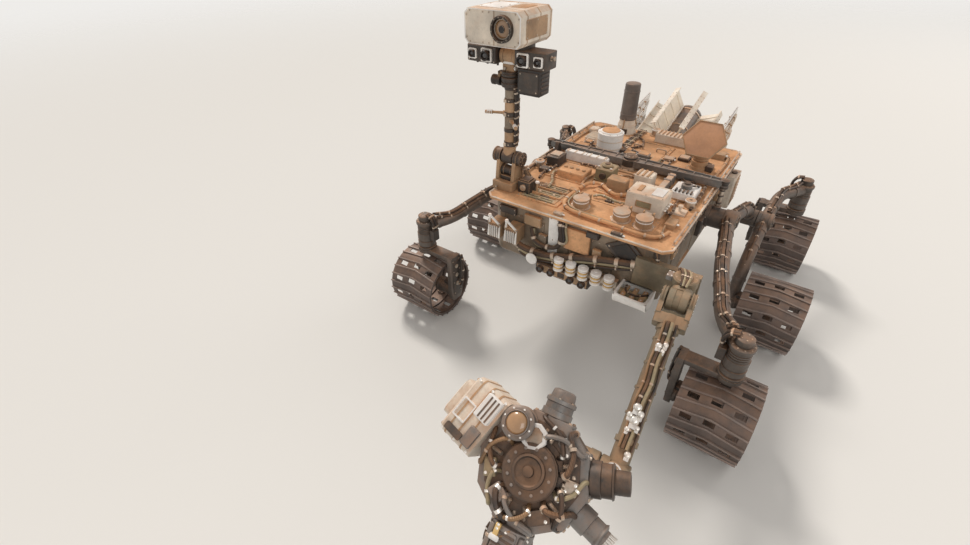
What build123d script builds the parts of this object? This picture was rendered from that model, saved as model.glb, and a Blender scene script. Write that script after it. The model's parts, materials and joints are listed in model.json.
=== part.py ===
from build123d import *
import math
import os

# A six-wheeled planetary rover, standing on flat ground.
# The frame: +Z up, forward is -Y, the rover's own left (port) is +X.
# Every y below is measured from the middle axle, and MIDDLE_Y carries it into the frame,
# whose origin is the middle of the whole footprint. All lengths are millimetres.
MIDDLE_Y = 727.6

# Body, deck and belly
BODY_HALF_WIDTH = 590.0
BODY_FRONT = -960.0
BODY_REAR = 660.0
BELLY_Z = 670.0
BODY_TOP = 1090.0
DECK_HALF_WIDTH = 620.0
DECK_FRONT = -1000.0
DECK_REAR = 690.0
DECK_THICK = 15.0
DECK_TOP = BODY_TOP + DECK_THICK
HATCH_TOP = DECK_TOP + 8
INLET_TOP = HATCH_TOP + 50
INLET_R = 34.0
LIFT_TOP = DECK_TOP + 55
LIFT_BORE_R = 10.0
LIFT_BORE_LONG = 40.0

# Wheels
WHEEL_R = 250.0
WHEEL_HALF_WIDTH = 200.0
RIM_R = 240.0
RIM_THICK = 7.0
LUG_COUNT = 24
LUG_HALF_THICK = 5.5
LUG_SHIFT = 12.0
SPOKE_COUNT = 6
SPOKE_HALF_WIDE = 25.0
HUB_R = 62.0
AXLE_R = 16.0
AXLE_GAP = 0.08
AXLE_Y = 1100.0
END_TRACK = 1100.0
MIDDLE_TRACK = 1190.0

# Suspension
ARM_TUBE_R = 43.0
ROCKER_X = 740.0
ROCKER_Y = -60.0
ROCKER_Z = 900.0
BOGIE_X = 930.0
BOGIE_Y = 480.0
BOGIE_Z = 700.0
STEER_R = 66.0
SPIGOT_R = 20.0
STEER_LOW = 592.0
STEER_HIGH = 800.0
KNUCKLE_TOP = 586.0
KNUCKLE_LOW = 536.0
KNUCKLE_IN = 255.0

# Open half-drum housing on the front wall
HOUSING_R = 90.0
HOUSING_Z = 812.0
HOUSING_LONG = 200.0
HOUSING_WALL = 12.0
HOUSING_X = 385.0

# Differential bar across the deck
BAR_Y = ROCKER_Y
BAR_Z = 1150.0
BAR_REACH = 640.0
LINK_X = BAR_REACH + 10
LINK_FOOT = ROCKER_Z + 90

# Mast
MAST_X = -560.0
MAST_Y = -800.0
FOLD_Z = 1315.0
COLUMN_TOP = 1790.0
TILT_Z = 1935.0

# High-gain antenna
DISH_X = 420.0
DISH_Y = 180.0
DISH_Z = 1290.0

# Radioisotope generator
GENERATOR_Y = 760.0
GENERATOR_Z = 900.0
GENERATOR_TILT = 15.0
GENERATOR_LONG = 640.0
GENERATOR_R = 125.0
FIN_R = 310.0
FIN_COUNT = 8

# Arm: the shoulder's azimuth axis is upright, the elevation axis is ahead of it
SHOULDER_X = 740.0
SHOULDER_Y = -1090.0
SHOULDER_Z = 1000.0
SHOULDER_AHEAD = 130.0
ARM_HEADING = 5.0
ARM_LIFT = -31.0
ELBOW_BEND = 84.0
WRIST_BEND = 0.0
UPPER_LONG = 900.0
FORE_LONG = 830.0
FORE_OFFSET = 150.0
UPPER_R = 48.0
FORE_R = 42.0
TURRET_R = 150.0
TURRET_AHEAD = 114.0
TOOL_TURNS = (90.0, 162.0, 270.0, 342.0, 18.0)
EYE_TURN = 126.0
EYE_OUT = 124.0

PORT = 1
STARBOARD = -1
SIDES = ((PORT, "port"), (STARBOARD, "starboard"))


def at(x, y, z):
    """A point measured from the middle axle, in the frame."""
    return Vector(x, y + MIDDLE_Y, z)


def save(piece, node):
    """Labels a finished piece and writes it."""
    piece.part.label = node
    export_step(piece.part, f"parts/{node}.step")


def shaft(start, end, radius):
    """A round bar from start to end, in the piece being built."""
    along = end - start
    with BuildSketch(Plane(origin=start, z_dir=along)) as disc:
        Circle(radius)
    extrude(disc.sketch, amount=along.length)


def barrel(start, end, radius, sides=10):
    """A many-sided bar from start to end, in the piece being built."""
    along = end - start
    with BuildSketch(Plane(origin=start, z_dir=along)) as disc:
        RegularPolygon(radius, sides)
    extrude(disc.sketch, amount=along.length)


def block(low, high):
    """A square block between two corners given from the middle axle."""
    size = [abs(high[i] - low[i]) for i in range(3)]
    middle = [(high[i] + low[i]) / 2 for i in range(3)]
    with Locations(at(*middle)):
        Box(*size)


def tube(points, radius):
    """An eight-sided tube along straight runs, mitred where they meet."""
    with BuildLine() as route:
        Polyline(*points)
    with BuildSketch(Plane(origin=points[0], z_dir=points[1] - points[0])) as section:
        RegularPolygon(radius, 8)
    sweep(section.sketch, path=route.line, transition=Transition.RIGHT)


def plate(plane, points, half_thick):
    """A flat plate of the given outline, half_thick to each side of its plane."""
    with BuildSketch(plane) as outline:
        with BuildLine():
            Polyline(*points, close=True)
        make_face()
    extrude(outline.sketch, amount=half_thick, both=True)


def side_plane(x):
    """An upright plane seen from port: its x is the row's y from the middle axle, its y is the height."""
    return Plane(origin=at(x, 0, 0), x_dir=(0, 1, 0), z_dir=(1, 0, 0))


def make_body():
    corner = 70.0
    with BuildPart() as body:
        with BuildSketch(Plane.XY.offset(BELLY_Z)):
            with Locations(at(0, (BODY_FRONT + BODY_REAR) / 2, 0)):
                Rectangle(2 * BODY_HALF_WIDTH, BODY_REAR - BODY_FRONT)
            chamfer(vertices(), corner)
        extrude(amount=BODY_TOP - BELLY_Z)
        chamfer(faces().sort_by(Axis.Z)[0].edges(), 35)
        # shallow panels in the sides and the front
        for side in (PORT, STARBOARD):
            with Locations(at(side * BODY_HALF_WIDTH, -560, 880), at(side * BODY_HALF_WIDTH, 360, 880)):
                Box(12, 480, 260, mode=Mode.SUBTRACT)
        for x in (-330, 150):
            with Locations(at(x, BODY_FRONT, 900)):
                Box(300, 16, 220, mode=Mode.SUBTRACT)
    save(body, "body")


def make_belly_pan():
    with BuildPart() as pan:
        with BuildSketch(Plane.XY.offset(BELLY_Z - 12)):
            with Locations(at(0, (BODY_FRONT + BODY_REAR) / 2, 0)):
                Rectangle(1040, 1480)
            chamfer(vertices(), 60)
        extrude(amount=12)
        with BuildSketch(Plane.XY.offset(BELLY_Z - 26)):
            with Locations(at(-250, -420, 0), at(250, -420, 0), at(0, 260, 0)):
                Rectangle(360, 420)
            chamfer(vertices(), 40)
        extrude(amount=14)
    save(pan, "belly_pan")


def make_deck():
    with BuildPart() as deck:
        with BuildSketch(Plane.XY.offset(BODY_TOP)):
            with Locations(at(0, (DECK_FRONT + DECK_REAR) / 2, 0)):
                Rectangle(2 * DECK_HALF_WIDTH, DECK_REAR - DECK_FRONT)
            chamfer(vertices(), 45)
        extrude(amount=DECK_THICK)
        # hatch covers stand slightly proud: columns are x, y, length along x, length along y
        for x, y, wide, deep in ((-290, -760, 300, 270), (180, -780, 560, 240), (200, -390, 500, 336),
                                 (-300, -370, 360, 300), (20, 300, 300, 320)):
            with BuildSketch(Plane.XY.offset(DECK_TOP)):
                with Locations(at(x, y, 0)):
                    Rectangle(wide, deep)
            extrude(amount=HATCH_TOP - DECK_TOP)
        # the starboard hatch is an open tray with two cross bars
        for y in (-845, -760, -675):
            with Locations(at(-290, y, HATCH_TOP)):
                Box(250, 70, 28, mode=Mode.SUBTRACT)
    save(deck, "deck")


def make_wheel(node, x, y, side):
    """A wheel: a thin rim of flats, a chevron lug on each flat, bent springy spokes and a bored hub."""
    inner = RIM_R - RIM_THICK
    root = 3.0
    hub = Plane(origin=at(x, y, WHEEL_R), x_dir=(0, 1, 0), z_dir=(1, 0, 0))
    flats = []
    for i in range(LUG_COUNT):
        turn = 2 * math.pi * i / LUG_COUNT
        outward = hub.x_dir * math.cos(turn) + hub.y_dir * math.sin(turn)
        flats.append(Plane(origin=hub.origin + outward * (RIM_R - root), x_dir=hub.z_dir, z_dir=outward))
    with BuildPart() as wheel:
        with BuildSketch(hub.offset(-WHEEL_HALF_WIDTH)):
            RegularPolygon(RIM_R, LUG_COUNT, major_radius=False, rotation=180 / LUG_COUNT)
            RegularPolygon(inner, LUG_COUNT, major_radius=False, rotation=180 / LUG_COUNT, mode=Mode.SUBTRACT)
        extrude(amount=2 * WHEEL_HALF_WIDTH)
        with BuildSketch(*flats) as chevrons:
            with BuildLine():
                low = -LUG_SHIFT - LUG_HALF_THICK
                high = -LUG_SHIFT + LUG_HALF_THICK
                rise = 2 * LUG_SHIFT
                Polyline((-WHEEL_HALF_WIDTH, low), (0, low + rise), (WHEEL_HALF_WIDTH, low),
                         (WHEEL_HALF_WIDTH, high), (0, high + rise), (-WHEEL_HALF_WIDTH, high), close=True)
            make_face()
        extrude(amount=WHEEL_R - RIM_R + root)
        with BuildSketch(hub.offset(-18)):
            RegularPolygon(HUB_R, 6)
        extrude(amount=36)
        with BuildSketch(hub.offset(-SPOKE_HALF_WIDE)):
            with PolarLocations(0, SPOKE_COUNT):
                with BuildLine():
                    Polyline((HUB_R - 12, -24), (146, 30), (inner + 3, -6),
                             (inner + 3, -17), (146, 18), (HUB_R - 12, -36), close=True)
                make_face()
        extrude(amount=2 * SPOKE_HALF_WIDE)
        with BuildSketch(hub.offset(-60)):
            Circle(AXLE_R + AXLE_GAP)
        extrude(amount=120, mode=Mode.SUBTRACT)
    save(wheel, node)


def make_drive(x, y, side):
    """The wheel's drive motor and axle stub, in the piece being built."""
    barrel(at(x - side * 250, y, WHEEL_R), at(x - side * 90, y, WHEEL_R), 60)
    barrel(at(x - side * 91, y, WHEEL_R), at(x - side * 26, y, WHEEL_R), 36)
    shaft(at(x - side * 30, y, WHEEL_R), at(x + side * 30, y, WHEEL_R), AXLE_R)


def make_knuckle(node, x, y, side):
    """A steered knuckle: turntable over the wheel, leg down its inner face, drive motor and axle."""
    leg = x - side * KNUCKLE_IN
    shelf = KNUCKLE_LOW + 36
    with BuildPart() as knuckle:
        barrel(at(x, y, KNUCKLE_LOW), at(x, y, KNUCKLE_TOP), 72, 16)
        block((x, y - 46, KNUCKLE_LOW), (leg, y + 46, shelf))
        plate(side_plane(leg), ((y - 52, shelf), (y + 52, shelf), (y + 66, 300), (y + 40, 178),
                                (y - 40, 178), (y - 66, 300)), 19)
        make_drive(x, y, side)
    save(knuckle, node)


def make_steering(x, y):
    """The upright steering motor over a steered wheel and its spigot, in the piece being built."""
    shaft(at(x, y, STEER_LOW - 5), at(x, y, STEER_LOW + 1), SPIGOT_R)
    barrel(at(x, y, STEER_LOW), at(x, y, STEER_HIGH), STEER_R, 16)
    barrel(at(x, y, STEER_HIGH - 1), at(x, y, STEER_HIGH + 44), 46)


def make_rocker(side, name):
    pivot = at(side * ROCKER_X, ROCKER_Y, ROCKER_Z)
    with BuildPart() as rocker:
        barrel(at(side * 592, ROCKER_Y, ROCKER_Z), at(side * (ROCKER_X + 58), ROCKER_Y, ROCKER_Z), 76, 16)
        block((side * (LINK_X - 24), ROCKER_Y - 22, ROCKER_Z + 40), (side * (LINK_X + 24), ROCKER_Y + 22, LINK_FOOT))
        tube([pivot, at(side * 850, -640, 880), at(side * 960, -960, 790),
              at(side * END_TRACK, -AXLE_Y, STEER_HIGH - 50)], ARM_TUBE_R)
        make_steering(side * END_TRACK, -AXLE_Y)
        tube([pivot, at(side * 800, 300, 850), at(side * 830, BOGIE_Y, BOGIE_Z)], ARM_TUBE_R)
        barrel(at(side * 778, BOGIE_Y, BOGIE_Z), at(side * 878, BOGIE_Y, BOGIE_Z), 64, 16)
    save(rocker, f"rocker_{name}")


def make_bogie(side, name):
    pivot = at(side * BOGIE_X, BOGIE_Y, BOGIE_Z)
    with BuildPart() as bogie:
        barrel(at(side * 878, BOGIE_Y, BOGIE_Z), at(side * 988, BOGIE_Y, BOGIE_Z), 66, 16)
        tube([pivot, at(side * BOGIE_X, 130, 560), at(side * BOGIE_X, 0, WHEEL_R)], ARM_TUBE_R)
        tube([pivot, at(side * 960, 800, 790), at(side * END_TRACK, AXLE_Y, STEER_HIGH - 50)], ARM_TUBE_R)
        make_steering(side * END_TRACK, AXLE_Y)
        make_drive(side * MIDDLE_TRACK, 0, side)
    save(bogie, f"bogie_{name}")


def make_differential():
    with BuildPart() as post:
        barrel(at(0, BAR_Y, DECK_TOP), at(0, BAR_Y, BAR_Z - 25), 66, 16)
    save(post, "differential_post")
    with BuildPart() as bar:
        with BuildSketch(Plane.XY.offset(BAR_Z - 25)):
            with BuildLine(Plane(origin=at(0, BAR_Y, 0))):
                Polyline((-BAR_REACH, -26), (0, -48), (BAR_REACH, -26), (BAR_REACH, 26), (0, 48),
                         (-BAR_REACH, 26), close=True)
            make_face()
        extrude(amount=50)
        barrel(at(0, BAR_Y, BAR_Z + 24), at(0, BAR_Y, BAR_Z + 45), 50)
        for side in (PORT, STARBOARD):
            x = side * LINK_X
            barrel(at(x, BAR_Y, BAR_Z - 30), at(x, BAR_Y, BAR_Z + 30), 30)
            barrel(at(x, BAR_Y, BAR_Z - 20), at(x, BAR_Y, LINK_FOOT), 14, 8)
    save(bar, "differential_bar")


def make_mast():
    foot = DECK_TOP
    with BuildPart() as base:
        block((MAST_X - 78, MAST_Y - 88, foot), (MAST_X + 78, MAST_Y + 88, foot + 60))
        for side in (PORT, STARBOARD):
            near = MAST_X + side * 48
            plate(side_plane(near + side * 12), ((MAST_Y - 60, foot + 50), (MAST_Y + 60, foot + 50),
                                                 (MAST_Y + 40, FOLD_Z), (MAST_Y - 40, FOLD_Z)), 12)
            barrel(at(near, MAST_Y, FOLD_Z), at(near + side * 60, MAST_Y, FOLD_Z), 48)
    save(base, "mast_base")
    with BuildPart() as column:
        barrel(at(MAST_X - 40, MAST_Y, FOLD_Z), at(MAST_X + 40, MAST_Y, FOLD_Z), 46, 12)
        shaft(at(MAST_X, MAST_Y, FOLD_Z), at(MAST_X + 43, MAST_Y, FOLD_Z), AXLE_R)
        barrel(at(MAST_X, MAST_Y, FOLD_Z), at(MAST_X, MAST_Y, COLUMN_TOP), 36)
        block((MAST_X - 30, MAST_Y + 20, FOLD_Z + 70), (MAST_X + 30, MAST_Y + 64, COLUMN_TOP - 60))
        barrel(at(MAST_X, MAST_Y, COLUMN_TOP - 30), at(MAST_X, MAST_Y, COLUMN_TOP + 28), 58, 12)
        shaft(at(MAST_X, MAST_Y, COLUMN_TOP + 20), at(MAST_X, MAST_Y, COLUMN_TOP + 30), AXLE_R)
        # two weather booms: columns are height, reach to the side, reach ahead
        for z, aside, ahead in ((1600, -150, 60), (1560, 120, 120)):
            boom = at(MAST_X + aside, MAST_Y - ahead, z)
            barrel(at(MAST_X, MAST_Y, z), boom, 9, 6)
    save(column, "mast_column")
    with BuildPart() as yoke:
        barrel(at(MAST_X, MAST_Y, COLUMN_TOP + 32), at(MAST_X, MAST_Y, COLUMN_TOP + 62), 57, 16)
        block((MAST_X - 40, MAST_Y - 35, COLUMN_TOP + 60), (MAST_X + 40, MAST_Y + 35, TILT_Z))
        barrel(at(MAST_X - 58, MAST_Y, TILT_Z), at(MAST_X + 58, MAST_Y, TILT_Z), 48, 16)
        shaft(at(MAST_X, MAST_Y, TILT_Z), at(MAST_X + 61, MAST_Y, TILT_Z), 12)
        barrel(at(MAST_X - 66, MAST_Y, COLUMN_TOP - 4), at(MAST_X - 132, MAST_Y, COLUMN_TOP - 4), 30)
        block((MAST_X - 84, MAST_Y - 18, COLUMN_TOP), (MAST_X - 68, MAST_Y + 18, COLUMN_TOP + 53))
        block((MAST_X - 80, MAST_Y - 18, COLUMN_TOP + 36), (MAST_X - 40, MAST_Y + 18, COLUMN_TOP + 53))
    save(yoke, "mast_yoke")
    with BuildPart() as bar:
        for side in (PORT, STARBOARD):
            near = MAST_X + side * 64
            block((near, MAST_Y - 70, TILT_Z - 45), (near + side * 205, MAST_Y + 55, TILT_Z + 48))
            block((near, MAST_Y - 60, TILT_Z + 40), (near + side * 60, MAST_Y + 60, TILT_Z + 80))
            # round lenses: columns are place along the bar, radius, length
            for along, radius, long in ((60, 32, 35), (160, 24, 25)):
                lens = near + side * along
                barrel(at(lens, MAST_Y - 69, TILT_Z), at(lens, MAST_Y - 70 - long, TILT_Z), radius)
        block((MAST_X + 84, MAST_Y - 64, TILT_Z - 190), (MAST_X + 236, MAST_Y + 50, TILT_Z - 44))
    save(bar, "camera_bar")
    with BuildPart() as laser:
        block((MAST_X - 185, MAST_Y - 195, TILT_Z + 80), (MAST_X + 185, MAST_Y + 120, TILT_Z + 255))
        chamfer(edges().filter_by(Axis.Y), 24)
        barrel(at(MAST_X + 70, MAST_Y - 194, TILT_Z + 170), at(MAST_X + 70, MAST_Y - 222, TILT_Z + 170), 66, 24)
    save(laser, "laser_head")


def make_dish():
    with BuildPart() as base:
        barrel(at(DISH_X, DISH_Y, DECK_TOP), at(DISH_X, DISH_Y, DISH_Z - 112), 57)
        shaft(at(DISH_X, DISH_Y, DISH_Z - 113), at(DISH_X, DISH_Y, DISH_Z - 110), 14)
    save(base, "antenna_base")
    with BuildPart() as fork:
        barrel(at(DISH_X, DISH_Y, DISH_Z - 108), at(DISH_X, DISH_Y, DISH_Z - 78), 52)
        for side in (PORT, STARBOARD):
            near = DISH_X + side * 37
            block((near, DISH_Y - 26, DISH_Z - 85), (near + side * 14, DISH_Y + 26, DISH_Z + 26))
    save(fork, "antenna_fork")
    face = Plane(origin=at(DISH_X, DISH_Y, DISH_Z), x_dir=(1, 0, 0), z_dir=(0, -1, 1))
    with BuildPart() as dish:
        shaft(at(DISH_X, DISH_Y, DISH_Z), at(DISH_X + 32, DISH_Y, DISH_Z), 14)
        with BuildSketch(face):
            RegularPolygon(24, 8)
        extrude(amount=64)
        with BuildSketch(face.offset(60)):
            RegularPolygon(150, 6)
        extrude(amount=22)
    save(dish, "antenna_dish")


def make_antennas():
    with BuildPart() as relay:
        # a slim radome on a cone: columns are height over the deck, radius, length, taper in degrees
        for low, radius, long, narrowing in ((0, 84, 112, 12), (112, 66, 285, 1)):
            with BuildSketch(Plane(origin=at(-300, 600, DECK_TOP + low))):
                RegularPolygon(radius, 16)
            extrude(amount=long, taper=narrowing)
    save(relay, "relay_antenna")
    with BuildPart() as low:
        barrel(at(-250, 140, DECK_TOP), at(-250, 140, DECK_TOP + 150), 98, 16)
        barrel(at(-250, 140, DECK_TOP + 148), at(-250, 140, DECK_TOP + 162), 80, 16)
    save(low, "low_gain_antenna")


def rear_cut():
    """Trims the piece being built back to the body's rear wall."""
    with BuildSketch(Plane.XZ.offset(-BODY_REAR - MIDDLE_Y)) as wall:
        with Locations((0, 885)):
            Rectangle(900, 460)
    extrude(wall.sketch, amount=60, mode=Mode.SUBTRACT)


def make_generator():
    tilt = math.radians(GENERATOR_TILT)
    along = Vector(0, math.cos(tilt), math.sin(tilt))
    start = at(0, GENERATOR_Y, GENERATOR_Z)
    axis = Plane(origin=start, x_dir=(1, 0, 0), z_dir=along)
    with BuildPart() as generator:
        with BuildSketch(axis):
            RegularPolygon(GENERATOR_R, 2 * FIN_COUNT, major_radius=False)
        extrude(amount=GENERATOR_LONG)
        with BuildSketch(axis.offset(30)):
            with PolarLocations((FIN_R + GENERATOR_R) / 2 - 10, FIN_COUNT, start_angle=22.5):
                Rectangle(FIN_R - GENERATOR_R + 20, 10)
            with PolarLocations(FIN_R - 4, FIN_COUNT, start_angle=22.5):
                Rectangle(8, 46)
        extrude(amount=GENERATOR_LONG - 60)
        with BuildSketch(axis.offset(-80)):
            RegularPolygon(72, 12)
        extrude(amount=90)
    save(generator, "generator")
    with BuildPart() as mount:
        for side in (PORT, STARBOARD):
            for z in (760, 1010):
                barrel(at(side * 260, BODY_REAR, z), at(side * 92, GENERATOR_Y - 38, 890), 14, 6)
        with BuildSketch(axis.offset(-58)):
            RegularPolygon(112, 12)
            RegularPolygon(72, 12, mode=Mode.SUBTRACT)
        extrude(amount=30)
        with BuildSketch(axis.offset(-59)):
            RegularPolygon(72, 12)
        extrude(amount=60, mode=Mode.SUBTRACT)
        rear_cut()
    save(mount, "generator_mount")
    with BuildPart() as plates:
        for side in (PORT, STARBOARD):
            x = side * 390
            plate(side_plane(x), ((GENERATOR_Y - 40, 730), (GENERATOR_Y + 520, 830), (GENERATOR_Y + 600, 1230),
                                  (GENERATOR_Y + 100, 1150)), 5)
            for z in (800, 1000):
                barrel(at(x, GENERATOR_Y + 60, z), at(side * 330, BODY_REAR, z), 12, 6)
        rear_cut()
    save(plates, "exchanger_plates")


def make_front():
    front = BODY_FRONT
    with BuildPart() as hazard:
        block((-190, front - 62, BELLY_Z + 8), (190, front, BELLY_Z + 78))
        for x in (-150, -70, 70, 150):
            barrel(at(x, front - 61, BELLY_Z + 43), at(x, front - 92, BELLY_Z + 43), 26, 8)
        for side in (PORT, STARBOARD):
            block((side * 430, BODY_REAR, 960), (side * 580, BODY_REAR + 60, 1030))
            for x in (465, 545):
                barrel(at(side * x, BODY_REAR + 59, 995), at(side * x, BODY_REAR + 85, 995), 24, 8)
    save(hazard, "hazard_cameras")
    with BuildPart() as bits:
        for x in (-500, -370):
            block((x - 45, front - 110, 850), (x + 45, front, 960))
            for step in (-38, 38):
                barrel(at(x + step, front - 100, 955), at(x, front - 150, 1040), 8, 6)
    save(bits, "bit_boxes")
    with BuildPart() as canisters:
        block((-60, front - 40, 752), (360, front, 800))
        for i in range(5):
            x = -20 + i * 85
            barrel(at(x, front - 75, 760), at(x, front - 75, 850), 33)
            block((x - 12, front - 60, 765), (x + 12, front - 30, 790))
    save(canisters, "canister_row")
    with BuildPart() as housing:
        trough = at(HOUSING_X, front - HOUSING_R + 14, HOUSING_Z)
        end = HOUSING_LONG - HOUSING_WALL
        # the trough's wall, then its two ends
        for near, long, hollow in ((0, HOUSING_LONG, True), (0, HOUSING_WALL, False),
                                   (end, HOUSING_WALL, False)):
            with BuildSketch(Plane(origin=trough + Vector(near, 0, 0), x_dir=(0, 1, 0), z_dir=(1, 0, 0))):
                RegularPolygon(HOUSING_R, 16)
                if hollow:
                    RegularPolygon(HOUSING_R - HOUSING_WALL, 16, mode=Mode.SUBTRACT)
                with Locations((0, HOUSING_R)):
                    Rectangle(3 * HOUSING_R, 2 * HOUSING_R, mode=Mode.SUBTRACT)
            extrude(amount=long)
        drum = trough - Vector(0, 0, 38)
        barrel(drum + Vector(9, 0, 0), drum + Vector(HOUSING_LONG - 9, 0, 0), 30)
        with Locations(at(HOUSING_X + HOUSING_LONG / 2, front + 40, HOUSING_Z)):
            Box(300, 80, 3 * HOUSING_R, mode=Mode.SUBTRACT)
    save(housing, "front_housing")
    with BuildPart() as tray:
        barrel(at(-210, front - 100, 780), at(-210, front - 88, 780), 40)
        barrel(at(-210, front - 90, 780), at(-210, front, 780), 12, 6)
    save(tray, "observation_tray")
    with BuildPart() as flanks:
        for side in (PORT, STARBOARD):
            block((side * BODY_HALF_WIDTH, 470, 720), (side * 655, 640, 980))
            chamfer(edges().filter_by(Axis.Z).sort_by(Axis.X)[-2 if side > 0 else 0], 12)
    save(flanks, "side_instruments")


def make_inlets():
    # sample inlets on the deck: columns are node, x, y
    for node, x, y in (("port", 390, -810), ("middle", 250, -810), ("starboard", -20, -800)):
        with BuildPart() as funnel:
            barrel(at(x, y, HATCH_TOP), at(x, y, INLET_TOP), 48, 16)
            block((x - 34, y + 30, HATCH_TOP), (x + 34, y + 80, HATCH_TOP + 12))
            with BuildSketch(Plane.XY.offset(HATCH_TOP + 15)):
                with Locations(at(x, y, 0)):
                    RegularPolygon(INLET_R, 16)
            extrude(amount=60, mode=Mode.SUBTRACT)
            for end in (-34, 26):
                block((x + end, y + 58, HATCH_TOP), (x + end + 8, y + 80, INLET_TOP + 12))
        save(funnel, f"inlet_{node}")
        with BuildPart() as cover:
            barrel(at(x, y, INLET_TOP + 2), at(x, y, INLET_TOP + 10), 52, 16)
            block((x - 20, y + 40, INLET_TOP + 2), (x + 20, y + 66, INLET_TOP + 10))
            shaft(at(x - 20, y + 68, INLET_TOP + 6), at(x + 20, y + 68, INLET_TOP + 6), 5)
        save(cover, f"inlet_cover_{node}")


def make_deck_items():
    with BuildPart() as target:
        block((470, -560, DECK_TOP), (550, -480, DECK_TOP + 12))
        barrel(at(510, -520, DECK_TOP + 10), at(510, -520, DECK_TOP + 45), 8, 6)
        barrel(at(510, -520, DECK_TOP + 40), at(510, -520, DECK_TOP + 52), 16, 8)
    save(target, "calibration_target")
    with BuildPart() as boxes:
        # closed equipment boxes: columns are x, y, width, depth, foot and top over the deck
        for x, y, wide, deep, low, high in ((330, -600, 230, 170, 8, 135), (470, -290, 150, 170, 8, 60),
                                            (200, -300, 120, 110, 8, 95), (70, -440, 130, 90, 8, 80),
                                            (-60, -330, 120, 130, 8, 90), (-260, -420, 200, 150, 8, 55),
                                            (-290, -170, 340, 46, 0, 70), (-470, -300, 100, 130, 8, 75),
                                            (130, 560, 300, 110, 0, 70)):
            block((x - wide / 2, y - deep / 2, DECK_TOP + low), (x + wide / 2, y + deep / 2, DECK_TOP + high))
        chamfer(edges().filter_by(Axis.Z), 10)
        # a square duct runs ahead from the differential bar
        block((310, -505, HATCH_TOP), (355, -125, DECK_TOP + 62))
    save(boxes, "deck_boxes")
    with BuildPart() as lift:
        for x, y in ((-540, -420), (540, -420), (-60, 650)):
            barrel(at(x, y, DECK_TOP), at(x, y, LIFT_TOP), 32)
            with Locations(at(x, y, LIFT_TOP)):
                Hole(LIFT_BORE_R, LIFT_BORE_LONG)
    save(lift, "lift_points")


def arm_planes():
    """The arm's joint planes. Each plane's z is its hinge axis and its x runs along the link."""
    heading = math.radians(ARM_HEADING)
    ahead = Vector(math.sin(heading), -math.cos(heading), 0)
    across = Vector(0, 0, 1).cross(ahead)
    shoulder = Plane(origin=at(SHOULDER_X, SHOULDER_Y, SHOULDER_Z), x_dir=ahead, z_dir=(0, 0, 1))
    angle = ARM_LIFT
    place = shoulder.origin + ahead * SHOULDER_AHEAD
    planes = [shoulder]
    for bend, long, aside in ((ELBOW_BEND, UPPER_LONG, -FORE_OFFSET), (WRIST_BEND, FORE_LONG, 0), (0, 0, 0)):
        lift = math.radians(angle)
        along = ahead * math.cos(lift) + Vector(0, 0, math.sin(lift))
        planes.append(Plane(origin=place, x_dir=along, z_dir=across))
        place = place + along * long + across * aside
        angle += bend
    return planes


def local(plane, x, y, z):
    """A point given in a plane's own axes."""
    return plane.from_local_coords(Vector(x, y, z))


def fork_box(plane, near, far, half_wide, half_high):
    """A cross-piece square to a link, from near to far along it, in the piece being built."""
    with BuildSketch(Plane(origin=local(plane, near, 0, 0), x_dir=plane.z_dir, z_dir=plane.x_dir)) as section:
        Rectangle(2 * half_wide, 2 * half_high)
        chamfer(vertices(), 12)
    extrude(section.sketch, amount=far - near)


def fork_cheek(plane, middle, aside, long, high, half_thick):
    """A fork's cheek with clipped corners, in the piece being built."""
    cheek = Plane(origin=local(plane, middle, 0, aside), x_dir=plane.x_dir, z_dir=plane.z_dir)
    with BuildSketch(cheek) as outline:
        Rectangle(long, high)
        chamfer(vertices(), high / 3)
    extrude(outline.sketch, amount=half_thick, both=True)


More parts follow.
